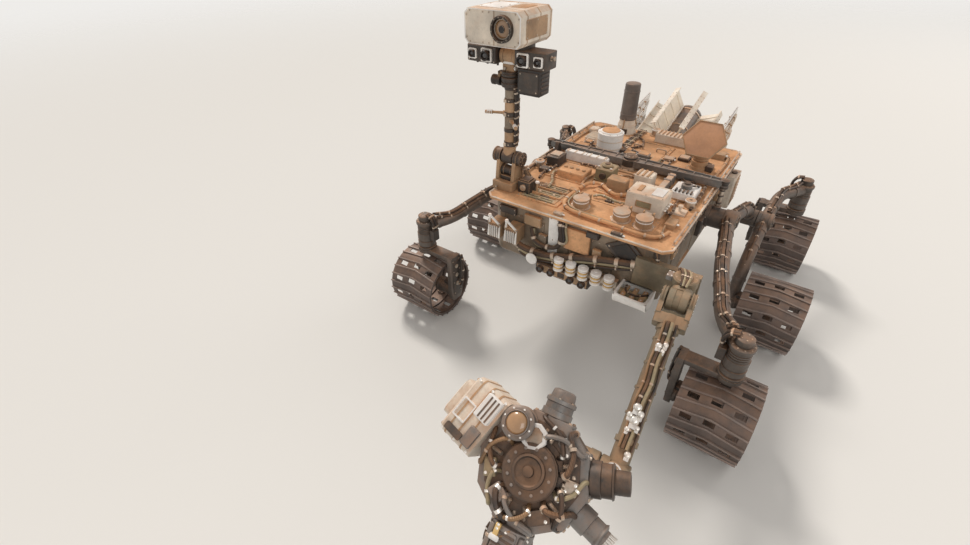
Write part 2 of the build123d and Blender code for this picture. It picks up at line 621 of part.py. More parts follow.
def make_arm():
    shoulder, upper, fore, wrist = arm_planes()
    foot = SHOULDER_Z - 160
    with BuildPart() as bracket:
        block((SHOULDER_X - 300, BODY_FRONT - 40, foot), (SHOULDER_X + 60, BODY_FRONT, SHOULDER_Z + 20))
        block((SHOULDER_X - 60, SHOULDER_Y - 60, foot), (SHOULDER_X + 60, BODY_FRONT - 10, foot + 50))
        plate(side_plane(SHOULDER_X + 44), ((SHOULDER_Y + 80, foot + 40), (BODY_FRONT - 30, foot + 40),
                                            (BODY_FRONT - 30, SHOULDER_Z)), 8)
        barrel(at(SHOULDER_X, SHOULDER_Y, foot), at(SHOULDER_X, SHOULDER_Y, SHOULDER_Z - 98), 70, 16)
        shaft(at(SHOULDER_X, SHOULDER_Y, SHOULDER_Z - 99), at(SHOULDER_X, SHOULDER_Y, SHOULDER_Z - 92), SPIGOT_R)
    save(bracket, "arm_bracket")
    with BuildPart() as turntable:
        barrel(at(SHOULDER_X, SHOULDER_Y, SHOULDER_Z - 90), at(SHOULDER_X, SHOULDER_Y, SHOULDER_Z + 70), 66, 16)
        barrel(shoulder.origin, local(shoulder, SHOULDER_AHEAD - 30, 0, 0), 54)
        barrel(local(upper, 0, 0, -52), local(upper, 0, 0, 52), 60, 16)
    save(turntable, "arm_shoulder")
    with BuildPart() as upper_arm:
        shaft(local(upper, 0, 0, 58), local(upper, 0, 0, 84), 62)
        barrel(local(upper, 0, 0, -58), local(upper, 0, 0, -84), 62, 16)
        for side in (-1, 1):
            fork_cheek(upper, 64, side * 70, 132, 92, 12)
        barrel(local(upper, 92, 0, 0), local(upper, UPPER_LONG - 20, 0, 0), UPPER_R)
        fork_box(upper, 92, 152, 82, 42)
        shaft(local(upper, UPPER_LONG, 0, 60), local(upper, UPPER_LONG, 0, -76), 60)
    save(upper_arm, "upper_arm")
    with BuildPart() as forearm:
        barrel(local(fore, 0, 0, FORE_OFFSET - 82), local(fore, 0, 0, -60), 62, 16)
        barrel(local(fore, 0, 0, 0), local(fore, FORE_LONG - 70, 0, 0), FORE_R)
        fork_box(fore, FORE_LONG - 160, FORE_LONG - 104, 76, 36)
        for side in (-1, 1):
            fork_cheek(fore, FORE_LONG - 60, side * 68, 200, 84, 9)
            shaft(local(fore, FORE_LONG, 0, side * 76), local(fore, FORE_LONG, 0, side * 86), SPIGOT_R)
    save(forearm, "forearm")
    with BuildPart() as wrist_body:
        barrel(local(wrist, 0, 0, -53), local(wrist, 0, 0, 53), 46, 16)
        barrel(local(wrist, 20, 0, 0), local(wrist, TURRET_AHEAD - 4, 0, 0), 44)
    save(wrist_body, "arm_wrist")
    make_turret(wrist)


def tool_plane(hub, turn, ahead):
    """A turret tool's plane: its z points out from the turret's axis, its x along that axis."""
    angle = math.radians(turn)
    outward = hub.x_dir * math.cos(angle) + hub.y_dir * math.sin(angle)
    return Plane(origin=hub.origin + hub.z_dir * ahead, x_dir=hub.z_dir, z_dir=outward)


def make_turret(wrist):
    """The turret turns about the wrist's long axis. Five tools point outwards, and a camera looks along it."""
    hub = Plane(origin=local(wrist, TURRET_AHEAD, 0, 0), x_dir=wrist.z_dir, z_dir=wrist.x_dir)
    sensor_at, sampler_at, drill_at, brush_at, camera_at = [tool_plane(hub, turn, 70) for turn in TOOL_TURNS]
    with BuildPart() as frame:
        barrel(hub.origin, local(hub, 0, 0, 150), 76, 16)
        shaft(local(hub, 0, 0, 149), local(hub, 0, 0, 162), 40)
        with BuildSketch(hub.offset(25)):
            RegularPolygon(TURRET_R, 10, major_radius=False)
        extrude(amount=90)
    save(frame, "turret")
    with BuildPart() as drill:
        barrel(local(drill_at, 0, 0, TURRET_R), local(drill_at, 0, 0, 250), 62)
        barrel(local(drill_at, 0, 0, 248), local(drill_at, 0, 0, 290), 30, 8)
        barrel(local(drill_at, 0, 0, 285), local(drill_at, 0, 0, 330), 8, 6)
        for y in (-44, 44):
            barrel(local(drill_at, 0, y, 245), local(drill_at, 0, y, 330), 9, 6)
    save(drill, "drill")
    with BuildPart() as sampler:
        with BuildSketch(sampler_at.offset(TURRET_R)):
            Rectangle(170, 190)
            chamfer(vertices(), 16)
        extrude(amount=120)
        with BuildSketch(sampler_at.offset(TURRET_R + 118)):
            Rectangle(110, 120)
            chamfer(vertices(), 14)
        extrude(amount=34)
    save(sampler, "sample_processor")
    with BuildPart() as tools:
        # barrels in two steps: columns are the tool's plane, first radius and reach, second radius and reach
        for plane, wide, near, narrow, far in ((brush_at, 36, 230, 26, 262), (sensor_at, 44, 205, 34, 232),
                                               (camera_at, 48, 215, 32, 255)):
            barrel(local(plane, 0, 0, TURRET_R), local(plane, 0, 0, near), wide)
            barrel(local(plane, 0, 0, near - 2), local(plane, 0, 0, far), narrow)
        eye = tool_plane(hub, EYE_TURN, 0)
        barrel(local(eye, 115, 0, EYE_OUT), local(eye, 168, 0, EYE_OUT), 46, 12)
        barrel(local(eye, 166, 0, EYE_OUT), local(eye, 180, 0, EYE_OUT), 34, 12)
    save(tools, "turret_sensors")


def make_all():
    os.makedirs("parts", exist_ok=True)
    make_body()
    make_belly_pan()
    make_deck()
    # wheels: columns are place, axle y, distance from the middle plane
    for place, y, track in (("front", -AXLE_Y, END_TRACK), ("middle", 0, MIDDLE_TRACK), ("rear", AXLE_Y, END_TRACK)):
        for side, name in SIDES:
            make_wheel(f"wheel_{place}_{name}", side * track, y, side)
            if place != "middle":
                make_knuckle(f"knuckle_{place}_{name}", side * track, y, side)
    for side, name in SIDES:
        make_rocker(side, name)
        make_bogie(side, name)
    make_differential()
    make_mast()
    make_dish()
    make_antennas()
    make_generator()
    make_front()
    make_inlets()
    make_deck_items()
    make_arm()


make_all()
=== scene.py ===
import json
import math

import bpy
import bmesh
from mathutils import Matrix, Vector

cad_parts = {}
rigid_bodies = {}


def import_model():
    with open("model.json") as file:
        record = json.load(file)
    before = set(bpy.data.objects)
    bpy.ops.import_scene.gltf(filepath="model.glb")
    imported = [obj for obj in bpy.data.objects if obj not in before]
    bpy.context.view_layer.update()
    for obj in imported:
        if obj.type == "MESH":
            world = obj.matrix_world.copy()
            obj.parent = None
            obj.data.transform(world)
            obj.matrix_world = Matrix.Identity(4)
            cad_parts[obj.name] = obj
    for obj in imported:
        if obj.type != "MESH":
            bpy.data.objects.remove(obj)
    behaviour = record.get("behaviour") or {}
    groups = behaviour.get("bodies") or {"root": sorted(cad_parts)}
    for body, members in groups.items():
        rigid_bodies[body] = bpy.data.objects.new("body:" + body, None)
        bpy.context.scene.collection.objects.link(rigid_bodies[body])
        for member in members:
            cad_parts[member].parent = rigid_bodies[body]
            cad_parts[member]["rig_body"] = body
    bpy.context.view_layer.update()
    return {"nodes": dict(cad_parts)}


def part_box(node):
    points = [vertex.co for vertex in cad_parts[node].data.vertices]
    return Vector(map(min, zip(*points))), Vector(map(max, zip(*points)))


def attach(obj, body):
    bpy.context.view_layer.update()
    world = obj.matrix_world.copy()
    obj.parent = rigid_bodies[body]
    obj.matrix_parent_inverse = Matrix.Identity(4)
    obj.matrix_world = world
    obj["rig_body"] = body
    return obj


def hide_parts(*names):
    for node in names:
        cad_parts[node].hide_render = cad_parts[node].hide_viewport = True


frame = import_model()
NODES = frame["nodes"]
BODY_OF = {name: node["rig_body"] for name, node in NODES.items()}

# Lengths below are millimetres, with y measured from the middle axle as in the part's source.
AXLE_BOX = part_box("wheel_middle_port")
MIDDLE_Y = 500 * (AXLE_BOX[0].y + AXLE_BOX[1].y)
ORIGIN = Vector((0, MIDDLE_Y, 0))
SIDES = ((1, "port"), (-1, "starboard"))

# Places that several pieces share
DECK, HATCH = 1105, 1113  # heights of the deck and of the hatches on it
FRONT_WALL, REAR_WALL, SIDE_WALL = -960, 660, 590
BELLY = 658  # height of the pan's underside
AXLE_Y, TRACK, MIDDLE_TRACK = 1100, 1100, 1190  # outer axles along y, wheel centres aside

# The photo's camera, fitted: place in metres, turns in degrees, focal length in pixels of the photo's width
CAMERA_AT, YAW, PITCH, ROLL = (1.037, -3.253, 2.569), 36.5, 37.1, -1.0
FOCAL, PHOTO_WIDE, SENSOR = 468.2, 970, 36.0


def tone(red, green, blue):
    """A colour written as it should look on screen, 0 to 255, as linear light."""
    levels = (c / 255 for c in (red, green, blue))
    return tuple(c / 12.92 if c <= 10 / 255 else ((c + 0.055) / 1.055) ** 2.4 for c in levels) + (1.0,)


def scaled(colour, gain, lift=0.0):
    return tuple(min(1.0, c * gain + lift) for c in colour[:3]) + (1.0,)


# Finishes

DUST = tone(204, 147, 102)
LOOKS = {}


class Tree:
    """The shader nodes of a material or world."""

    def __init__(self, owner):
        owner.use_nodes = True
        self.nodes, self.links = owner.node_tree.nodes, owner.node_tree.links

    def add(self, kind, inputs=(), **settings):
        """A node with its settings; each input takes a value or another node's output."""
        made = self.nodes.new("ShaderNode" + kind)
        for key, value in settings.items():
            setattr(made, key, value)
        for key, value in dict(inputs).items():
            self.feed(made, key, value)
        return made

    def feed(self, node, key, value):
        if isinstance(value, bpy.types.NodeSocket):
            self.links.new(value, node.inputs[key])
        else:
            node.inputs[key].default_value = value

    def join(self, operation, a, b, **settings):
        """The output of a sum, product or the like of two numbers."""
        return self.add("Math", {0: a, 1: b}, operation=operation, **settings).outputs[0]


def make_look(name, colour, rough=0.55, metal=0.0, dust=0.6, grime=0.35, grain=70.0, bump=0.12, wear=0.0, coat=0.0,
              emboss=None, dark=0.62):
    """A painted, bare or moulded surface with patchy tone, specks, edge wear, and dust on what faces up."""
    look = bpy.data.materials.new(name)
    tree = Tree(look)
    shader = tree.nodes["Principled BSDF"]
    place = tree.add("TexCoord")

    def noise(scale, detail, soft=0.6):
        settings = {"Scale": scale, "Detail": detail, "Roughness": soft, "Vector": place.outputs["Object"]}
        return tree.add("TexNoise", settings).outputs["Fac"]

    def ramp(value, low, high, start=0.0, end=1.0):
        limits = {"From Min": low, "From Max": high, "To Min": start, "To Max": end, "Value": value}
        return tree.add("MapRange", limits).outputs["Result"]

    def times(a, b):
        return tree.join("MULTIPLY", a, b, use_clamp=True)

    def mix(a, b, share):
        return tree.add("Mix", {6: a, 7: b, 0: share}, data_type="RGBA").outputs[2]

    base = mix(scaled(colour, dark), scaled(colour, 1.12), ramp(noise(5.0, 6.0), 0.36, 0.58))
    specks = ramp(noise(grain, 4.0, 0.7), 0.52, 0.74, 0.0, grime)
    base = mix(base, scaled(colour, 0.42), specks)
    if wear:
        edge = tree.add("NewGeometry")
        bright = ramp(edge.outputs["Pointiness"], 0.515, 0.6, 0.0, wear)
        base = mix(base, scaled(colour, 1.7, 0.06), times(bright, noise(34.0, 3.0)))
    up = tree.add("SeparateXYZ", {0: place.outputs["Normal"]})
    lying = times(ramp(up.outputs["Z"], 0.1, 0.85), ramp(noise(9.0, 8.0, 0.7), 0.34, 0.56))
    clinging = ramp(noise(16.0, 7.0, 0.75), 0.5, 0.78, 0.0, 0.5)
    covered = times(tree.join("MAXIMUM", lying, clinging), float(dust))
    dusty = mix(scaled(DUST, 0.8), scaled(DUST, 1.15), ramp(noise(22.0, 6.0), 0.35, 0.65))
    tree.feed(shader, "Base Color", mix(base, dusty, covered))
    tree.feed(shader, "Roughness", ramp(covered, 0.0, 1.0, rough, 0.95))
    if metal:
        tree.feed(shader, "Metallic", ramp(covered, 0.0, 0.8, metal, 0.0))
    if coat:
        tree.feed(shader, "Coat Weight", coat)
        tree.feed(shader, "Coat Roughness", 0.12)
    relief = tree.add("Bump", {"Strength": bump, "Distance": 0.004})
    height = noise(grain * 1.6, 5.0, 0.65)
    if emboss:
        height = emboss(tree, place.outputs["Object"], height)
    tree.feed(relief, "Height", height)
    tree.feed(shader, "Normal", relief.outputs["Normal"])
    LOOKS[name] = look


def quilted(tree, place, height):
    """Creases of a taped thermal blanket, as height."""
    cells = tree.add("TexVoronoi", {"Scale": 16.0, "Vector": place}, feature="DISTANCE_TO_EDGE")
    return tree.join("ADD", cells.outputs["Distance"], height)


def ribbed(tree, place, height):
    """Fine wrapping rings of taped cable, as height."""
    waves = tree.add("TexWave", {"Scale": 55.0, "Distortion": 2.0, "Vector": place}, wave_type="BANDS",
                     bands_direction="DIAGONAL")
    return tree.join("ADD", waves.outputs["Fac"], height)


make_look("white", tone(226, 213, 196), rough=0.5, dust=0.6, grime=0.3, dark=0.8, wear=0.1)
make_look("bright", tone(240, 237, 233), rough=0.42, dust=0.25, grime=0.2, dark=0.88)
# deck_dust: orange dust, with strong dark and pale mottling at random that is partly painted shadow and highlight
make_look("deck_dust", tone(218, 166, 121), rough=0.75, dust=0.62, grime=0.62, dark=0.56, grain=38)
make_look("olive", tone(150, 140, 112), rough=0.5, metal=0.2, dust=0.35, grime=0.4, wear=0.3)
make_look("tan", tone(172, 140, 108), rough=0.6, dust=0.75, grime=0.45, wear=0.3)
make_look("aluminium", tone(172, 160, 146), rough=0.38, metal=0.75, dust=0.6, grime=0.4, wear=0.6)
make_look("silver", tone(232, 228, 222), rough=0.25, metal=0.9, dust=0.2, grime=0.2, dark=0.85)
# dark: kept low in dust so it stays near black, partly its own tone and partly painted shade
make_look("dark", tone(62, 55, 50), rough=0.48, metal=0.3, dust=0.26, grime=0.45, wear=0.5)
# suspension: its own dark grey, toned darker still as painted shade on the tubes
make_look("suspension", tone(92, 84, 78), rough=0.48, metal=0.4, dust=0.3, grime=0.5, wear=0.5)
make_look("arm", tone(126, 114, 94), rough=0.45, metal=0.3, dust=0.4, grime=0.45, wear=0.4)
make_look("grey", tone(116, 113, 110), rough=0.42, metal=0.4, dust=0.3, grime=0.5, wear=0.5)
make_look("wheel", tone(98, 87, 82), rough=0.5, metal=0.4, dust=0.2, grain=60, bump=0.14, wear=0.3, dark=0.8)
make_look("lug", tone(122, 110, 104), rough=0.45, metal=0.45, dust=0.15, grime=0.3, grain=60, bump=0.14, wear=0.5,
          dark=0.8)
# black: likewise kept low in dust, partly its own tone and partly painted shade
make_look("black", tone(36, 31, 29), rough=0.45, dust=0.2, grime=0.2, dark=0.8)
make_look("cable", tone(60, 50, 44), rough=0.65, dust=0.34, bump=0.5, emboss=ribbed, grain=90)
make_look("amber", tone(142, 112, 82), rough=0.45, metal=0.2, dust=0.3, bump=0.3, emboss=ribbed)
make_look("gold", tone(226, 190, 128), rough=0.3, metal=0.8, dust=0.2, grime=0.25, bump=0.35, emboss=quilted)
# blanket: toned darker than the real white and gold blanket, as painted shade for walls that lie in shadow; its
# creases are real
make_look("blanket", tone(136, 122, 106), rough=0.45, metal=0.25, bump=0.55, emboss=quilted, grain=50)
make_look("lens", tone(24, 22, 26), rough=0.08, dust=0.1, grime=0.05, bump=0.02, coat=1.0)
make_look("tan_lens", tone(176, 134, 92), rough=0.18, dust=0.15, grime=0.15, bump=0.04, coat=1.0)
make_look("radome", tone(112, 103, 97), rough=0.6, dust=0.22, grime=0.3)
make_look("rust", tone(186, 138, 106), rough=0.7, dust=0.35, grime=0.3, dark=0.85)
make_look("cream", tone(236, 227, 212), rough=0.45, dust=0.28, grime=0.25, dark=0.86)


# Places and outlines

class Grid:
    """Local axes: a point is given along x, y and z from the origin."""

    def __init__(self, origin, x=(1, 0, 0), z=(0, 0, 1)):
        self.o = Vector(origin)
        self.z = Vector(z).normalized()
        along = Vector(x)
        self.x = (along - self.z * along.dot(self.z)).normalized()
        self.y = self.z.cross(self.x)

    def __call__(self, x, y, z=0.0):
        return self.o + self.x * x + self.y * y + self.z * z

    def moved(self, x, y, z=0.0):
        return Grid(self(x, y, z), self.x, self.z)

    def raised(self, z):
        return self.moved(0, 0, z)

    def back(self, z=0.0):
        """The axes at a height, facing the other way."""
        return Grid(self(0, 0, z), self.x, -self.z)

    def turned(self, degrees):
        a = math.radians(degrees)
        return Grid(self.o, self.x * math.cos(a) + self.y * math.sin(a), self.z)


def fronting(place):
    """Axes that face ahead, with y up."""
    return Grid(place, (1, 0, 0), (0, -1, 0))


def rearing(place, x=-1):
    """Axes that face aft."""
    return Grid(place, (x, 0, 0), (0, 1, 0))


def flank(place, side=1):
    """Axes that face aside, with y up."""
    return Grid(place, (0, side, 0), (side, 0, 0))


def outboard(place, side=1):
    """Axes that face aside, with x aft."""
    return Grid(place, (0, 1, 0), (side, 0, 0))


def underneath(place):
    """Axes that face down."""
    return Grid(place, (1, 0, 0), (0, 0, -1))


def on_deck(x, y, z=0):
    return Grid((x, y, DECK + z))


def axis(start, end):
    """Axes whose z runs from start to end, and the length between them."""
    along = Vector(end) - Vector(start)
    side = Vector((0, 0, 1)) if abs(along.normalized().z) < 0.9 else Vector((1, 0, 0))
    return Grid(start, side, along), along.length


def circle(count, radius, start=0.0):
    turns = (math.tau * i / count + start for i in range(count))
    return [(radius * math.cos(a), radius * math.sin(a)) for a in turns]


def spread(wide, high, columns=2, rows=2):
    """Places in even columns and rows, out to wide and high on both sides of the middle."""
    return [(wide * (2 * i / (columns - 1) - 1), high * (2 * j / (rows - 1) - 1)) for i in range(columns)
            for j in range(rows)]


def rounded(wide, high, corner, count=3):
    """Corners of a rectangle with rounded corners, about its middle."""
    made = []
    for quarter, (sx, sy) in enumerate(((1, 1), (-1, 1), (-1, -1), (1, -1))):
        x, y = sx * (wide / 2 - corner), sy * (high / 2 - corner)
        for i in range(count + 1):
            a = math.radians(90 * quarter + 90 * i / count)
            made.append((x + corner * math.cos(a), y + corner * math.sin(a)))
    return made


def eased(points, reach):
    """The same route with its corners rounded off, starting reach before each."""
    points = [Vector(p) for p in points]
    made = [points[0]]
    for before, here, after in zip(points, points[1:], points[2:]):
        a, b = (here + (p - here).normalized() * min(reach, (p - here).length / 2) for p in (before, after))
        for i in range(7):
            t = i / 6
            made.append(a * (1 - t) ** 2 + here * (2 * t * (1 - t)) + b * t ** 2)
    made.append(points[-1])
    return made


def flowing(points, steps=5):
    """A smooth line through the points."""
    points = [Vector(p) for p in points]
    made = []
    for i in range(len(points) - 1):
        a, b = points[max(i - 1, 0)], points[i]
        c, d = points[i + 1], points[min(i + 2, len(points) - 1)]
        for k in range(steps):
            t = k / steps
            made.append(0.5 * (2 * b + (c - a) * t + (2 * a - 5 * b + 4 * c - d) * t * t
                               + (3 * b - a - 3 * c + d) * t ** 3))
    made.append(points[-1])
    return made


# Shapes

class Shape:
    """Collects faces with their finishes, given from a place, and becomes one piece that rides on a body."""

    def __init__(self, name, place=(0, 0, 0)):
        self.name, self.place = name, Vector(place)
        self.points, self.faces, self.marks, self.looks = [], [], [], []

    def put(self, points, faces, look):
        base = len(self.points)
        if look not in self.looks:
            self.looks.append(look)
        self.points += [Vector(p) for p in points]
        self.faces += [tuple(base + i for i in f) for f in faces]
        self.marks += [self.looks.index(look)] * len(faces)

    def skin(self, rings, look, caps=True, loop=False):
        n, count = len(rings[0]), len(rings)
        faces = []
        for i in range(count if loop else count - 1):
            j = (i + 1) % count
            faces += [(i * n + k, i * n + (k + 1) % n, j * n + (k + 1) % n, j * n + k) for k in range(n)]
        if caps and not loop:
            faces.append(tuple(reversed(range(n))))
            faces.append(tuple((count - 1) * n + k for k in range(n)))
        self.put([p for ring in rings for p in ring], faces, look)

    def frame(self, grid, outline, steps, look, **ends):
        """A skin that follows an outline: each step gives the outline's scale and its height over the grid."""
        self.skin([[grid(x * k, y * k, z) for x, y in outline] for k, z in steps], look, **ends)

    def hoop(self, grid, sides, steps, look, start=0.0, **ends):
        """A round skin: each step gives its radius and its height over the grid."""
        self.skin([[grid(x, y, z) for x, y in circle(sides, r, start)] for r, z in steps], look, **ends)

    def lathe(self, grid, profile, look, sides=28):
        """A turned form about the grid's z: the profile lists height and radius."""
        self.hoop(grid, sides, [(max(r, 0.2), z) for z, r in profile], look)

    def rod(self, start, end, radius, look, sides=16, end_radius=None):
        grid, long = axis(start, end)
        self.lathe(grid, ((0, radius), (long, radius if end_radius is None else end_radius)), look, sides)

    def drum(self, start, end, radius, look, sides=28, edge=3.0):
        """A round bar with broken edges."""
        grid, long = axis(start, end)
        profile = ((0, radius - edge), (edge, radius), (long - edge, radius), (long, radius - edge))
        self.lathe(grid, profile, look, sides)

    def tube(self, route, radius, look, sides=10):
        """A round tube along a route of points."""
        route = [Vector(p) for p in route]
        rings, side = [], None
        for i, p in enumerate(route):
            ahead = (route[min(i + 1, len(route) - 1)] - route[max(i - 1, 0)]).normalized()
            if side is None:
                side = ahead.orthogonal().normalized()
            side = (side - ahead * side.dot(ahead)).normalized()
            across = ahead.cross(side)
            rings.append([p + side * x + across * y for x, y in circle(sides, radius)])
        self.skin(rings, look)

    def slab(self, grid, outline, low, high, look, top=1.0):
        """A flat-ended prism of the outline between two heights over the grid; top scales its far end."""
        self.frame(grid, outline, ((1, low), (top, high)), look)

    def pad(self, grid, outline, low, high, look, edge=3.0):
        """A prism whose far edge is broken."""
        wide = max(abs(x) for x, y in outline)
        self.frame(grid, outline, ((1, low), (1, high - edge), ((wide - edge) / wide, high)), look)

    def box(self, low, high, look, edge=4.0):
        """A block between two corners with rounded upright edges and a broken top."""
        middle = [(a + b) / 2 for a, b in zip(low, high)]
        wide, deep = abs(high[0] - low[0]), abs(high[1] - low[1])
        bottom, top = min(low[2], high[2]), max(low[2], high[2])
        e = min(edge, wide / 4, deep / 4, (top - bottom) / 3)
        grid = Grid((middle[0], middle[1], 0))
        self.skin([[grid(x, y, z) for x, y in rounded(wide - 2 * i, deep - 2 * i, max(e - i, 0.5), 2)]
                   for z, i in ((bottom, e * 0.6), (bottom + e * 0.6, 0), (top - e * 0.6, 0), (top, e * 0.6))],
                  look)

    def crate(self, x, y, wide, deep, low, high, look, edge=4.0):
        """A box about a place on the deck, between two heights over it."""
        self.box((x - wide / 2, y - deep / 2, DECK + low), (x + wide / 2, y + deep / 2, DECK + high), look, edge)

    def bolts(self, grid, places, size, look="aluminium"):
        """Hexagon heads on washers at places in the grid's plane."""
        for x, y in places:
            here = grid.moved(x, y)
            self.lathe(here, ((-1.0, size * 1.25), (size * 0.2, size * 1.25)), look, 10)
            self.lathe(here, ((0, size), (size * 0.7, size), (size * 0.805, size * 0.8)), look, 6)

    def band(self, grid, radius, wide, look, proud=3.0, sides=28):
        """A strap or flange ring round the grid's z axis, centred on its origin."""
        half = wide / 2
        steps = ((radius, -half), (radius + proud, -half), (radius + proud, half), (radius, half))
        self.hoop(grid, sides, steps, look, loop=True)

    def motor(self, start, end, radius):
        """A geared motor housing: end flanges with bolts, a stepped barrel and cooling grooves."""
        (grid, long), r = axis(start, end), radius
        profile = [(0, r * 0.86), (2, r * 0.9), (long * 0.06, r * 0.9), (long * 0.07, r), (long * 0.2, r),
                   (long * 0.22, r * 0.92)]
        for i in range(4):
            z, groove = long * (0.36 + 0.1 * i), long * 0.035
            profile += [(z, r * 0.92), (z + 1, r * 0.87), (z + groove, r * 0.87), (z + groove + 1, r * 0.92)]
        profile += [(long * 0.8, r * 0.92), (long * 0.82, r), (long * 0.95, r), (long * 0.96, r * 0.9),
                    (long - 2, r * 0.9), (long, r * 0.84)]
        self.lathe(grid, profile, "suspension")
        for end in (grid.raised(long), grid.back()):
            self.bolts(end, circle(8, r * 0.7), r * 0.07)

    def harness(self, route, radius, look="cable", clips=0, clip_look="aluminium"):
        """A taped cable bundle along a smooth route, with clips at even steps."""
        line = flowing(route, 6)
        self.tube(line, radius, look, 8)
        for i in range(clips):
            k = round((i + 0.5) / clips * (len(line) - 2))
            grid, _ = axis(line[k], line[k + 1])
            self.band(grid, radius * 0.9, radius * 1.1, clip_look, radius * 0.4, 12)

    def mesh(self, shift=ORIGIN, bevel=0.0, crease=38.0):
        made = bpy.data.meshes.new(self.name)
        made.from_pydata([(p + self.place + shift) / 1000 for p in self.points], [], self.faces)
        for look in self.looks:
            made.materials.append(LOOKS[look])
        made.polygons.foreach_set("material_index", self.marks)
        work = bmesh.new()
        work.from_mesh(made)
        bmesh.ops.recalc_face_normals(work, faces=work.faces)
        if bevel:
            sharp = [e for e in work.edges
                     if len(e.link_faces) == 2 and e.calc_face_angle(0) > math.radians(crease)]
            bmesh.ops.bevel(work, geom=sharp, offset=bevel / 1000, segments=2, profile=0.6, affect="EDGES",
                            clamp_overlap=True)
        work.to_mesh(made)
        work.free()
        made.shade_smooth()
        made.set_sharp_from_angle(angle=math.radians(crease))
        return made

    def ride(self, body, slot=None, replaces=(), bevel=0.0, location=None, mesh=None):
        piece = bpy.data.objects.new(self.name, mesh or self.mesh(bevel=bevel))
        bpy.context.scene.collection.objects.link(piece)
        if location:
            piece.location = (Vector(location) + ORIGIN) / 1000
        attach(piece, body)
        if replaces:
            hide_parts(*replaces)

    def dress(self, slot, bevel=0.0, **more):
        """Stands for the CAD node that the piece is named after, and rides on that node's body."""
        node = self.name.removesuffix("_dressed")
        self.ride(BODY_OF[node], slot, (node,), bevel, **more)


# Camera, floor and light

def make_camera():
    yaw, pitch, roll = (math.radians(turn) for turn in (YAW, PITCH, ROLL))
    ahead = Vector((-math.sin(yaw) * math.cos(pitch), math.cos(yaw) * math.cos(pitch), -math.sin(pitch)))
    side = Vector((math.cos(yaw), math.sin(yaw), 0))
    upright = side.cross(ahead)
    right = side * math.cos(roll) + upright * math.sin(roll)
    data = bpy.data.cameras.new("camera")
    data.sensor_width = SENSOR
    data.lens = FOCAL * SENSOR / PHOTO_WIDE
    data.clip_start, data.clip_end = 0.05, 200
    camera = bpy.data.objects.new("camera", data)
    place = Matrix.Translation((CAMERA_AT[0], CAMERA_AT[1] + MIDDLE_Y / 1000, CAMERA_AT[2]))
    camera.matrix_world = place @ Matrix((right, right.cross(ahead), -ahead)).transposed().to_4x4()
    bpy.context.scene.collection.objects.link(camera)
    bpy.context.scene.camera = camera
    bpy.context.scene.view_settings.view_transform = "Standard"


def make_floor():
    half = 60000
    floor = Shape("floor")
    floor.put([(-half, -half, 0), (half, -half, 0), (half, half, 0), (-half, half, 0)], [(0, 1, 2, 3)], "white")
    made = floor.mesh()
    paint = bpy.data.materials.new("floor")
    tree = Tree(paint)
    shader = tree.nodes["Principled BSDF"]
    tree.feed(shader, "Roughness", 0.9)
    grain = tree.add("TexNoise", {"Scale": 1.5})
    blend = tree.add("Mix", {6: tone(226, 222, 217), 7: tone(236, 233, 229), 0: grain.outputs["Fac"]},
                     data_type="RGBA")
    tree.feed(shader, "Base Color", blend.outputs[2])
    # far out the floor gives way to the world's tone, so no edge shows from the sides
    place = tree.add("TexCoord")
    far = tree.add("VectorMath", {0: place.outputs["Object"]}, operation="LENGTH")
    fade = tree.add("MapRange", {"From Min": 6.5, "From Max": 26.0, "Value": far.outputs["Value"]},
                    interpolation_type="SMOOTHSTEP")
    clear = tree.add("BsdfTransparent")
    mixed = tree.add("MixShader", {0: fade.outputs["Result"], 1: shader.outputs[0], 2: clear.outputs[0]})
    tree.feed(tree.nodes["Material Output"], "Surface", mixed.outputs[0])
    made.materials.clear()
    made.materials.append(paint)
    piece = bpy.data.objects.new("floor", made)
    bpy.context.scene.collection.objects.link(piece)


def make_light():
    world = bpy.data.worlds.new("studio")
    bpy.context.scene.world = world
    tree = Tree(world)
    back = tree.nodes["Background"]
    tree.feed(back, "Color", (1.0, 0.98, 0.95, 1))
    # the camera, mirrors and glass see a brighter world than the one that lights the object
    path = tree.add("LightPath")
    seen = path.outputs["Is Camera Ray"]
    for kind in ("Is Glossy Ray", "Is Transmission Ray"):
        seen = tree.join("MAXIMUM", seen, path.outputs[kind])
    level = tree.add("MapRange", {"To Min": 0.42, "To Max": 0.86, "Value": seen})
    tree.feed(back, "Strength", level.outputs["Result"])
    # columns are name, kind, place in metres, angle or width, strength, colour
    for name, kind, where, size, power, colour in (
            ("key", "SUN", (-4.6, 2.6, 6.4), math.radians(14), 1.95, (1.0, 0.965, 0.91)),
            ("fill", "AREA", (10.0, -11.5, 12.0), 9.0, 600, (1.0, 0.98, 0.96)),
            ("back", "AREA", (9.0, 13.0, 10.5), 9.0, 420, (1.0, 0.98, 0.96))):
        data = bpy.data.lights.new(name, kind)
        data.energy, data.color = power, colour
        if kind == "SUN":
            data.angle = size
        else:
            data.size = size
        lamp = bpy.data.objects.new(name, data)
        lamp.location = where
        lamp.rotation_euler = (Vector((0, 0, 0.8)) - Vector(where)).to_track_quat("-Z", "Y").to_euler()
        bpy.context.scene.collection.objects.link(lamp)


# Wheels

WHEEL_R, HALF_WIDE, RIM_R, LUGS = 250.0, 200.0, 241, 24


def lug_shift(x):
    """How far round the tread a lug lies at a place across it: the lugs are chevrons."""
    return 12 - 24 * (1 - abs(x) / HALF_WIDE)


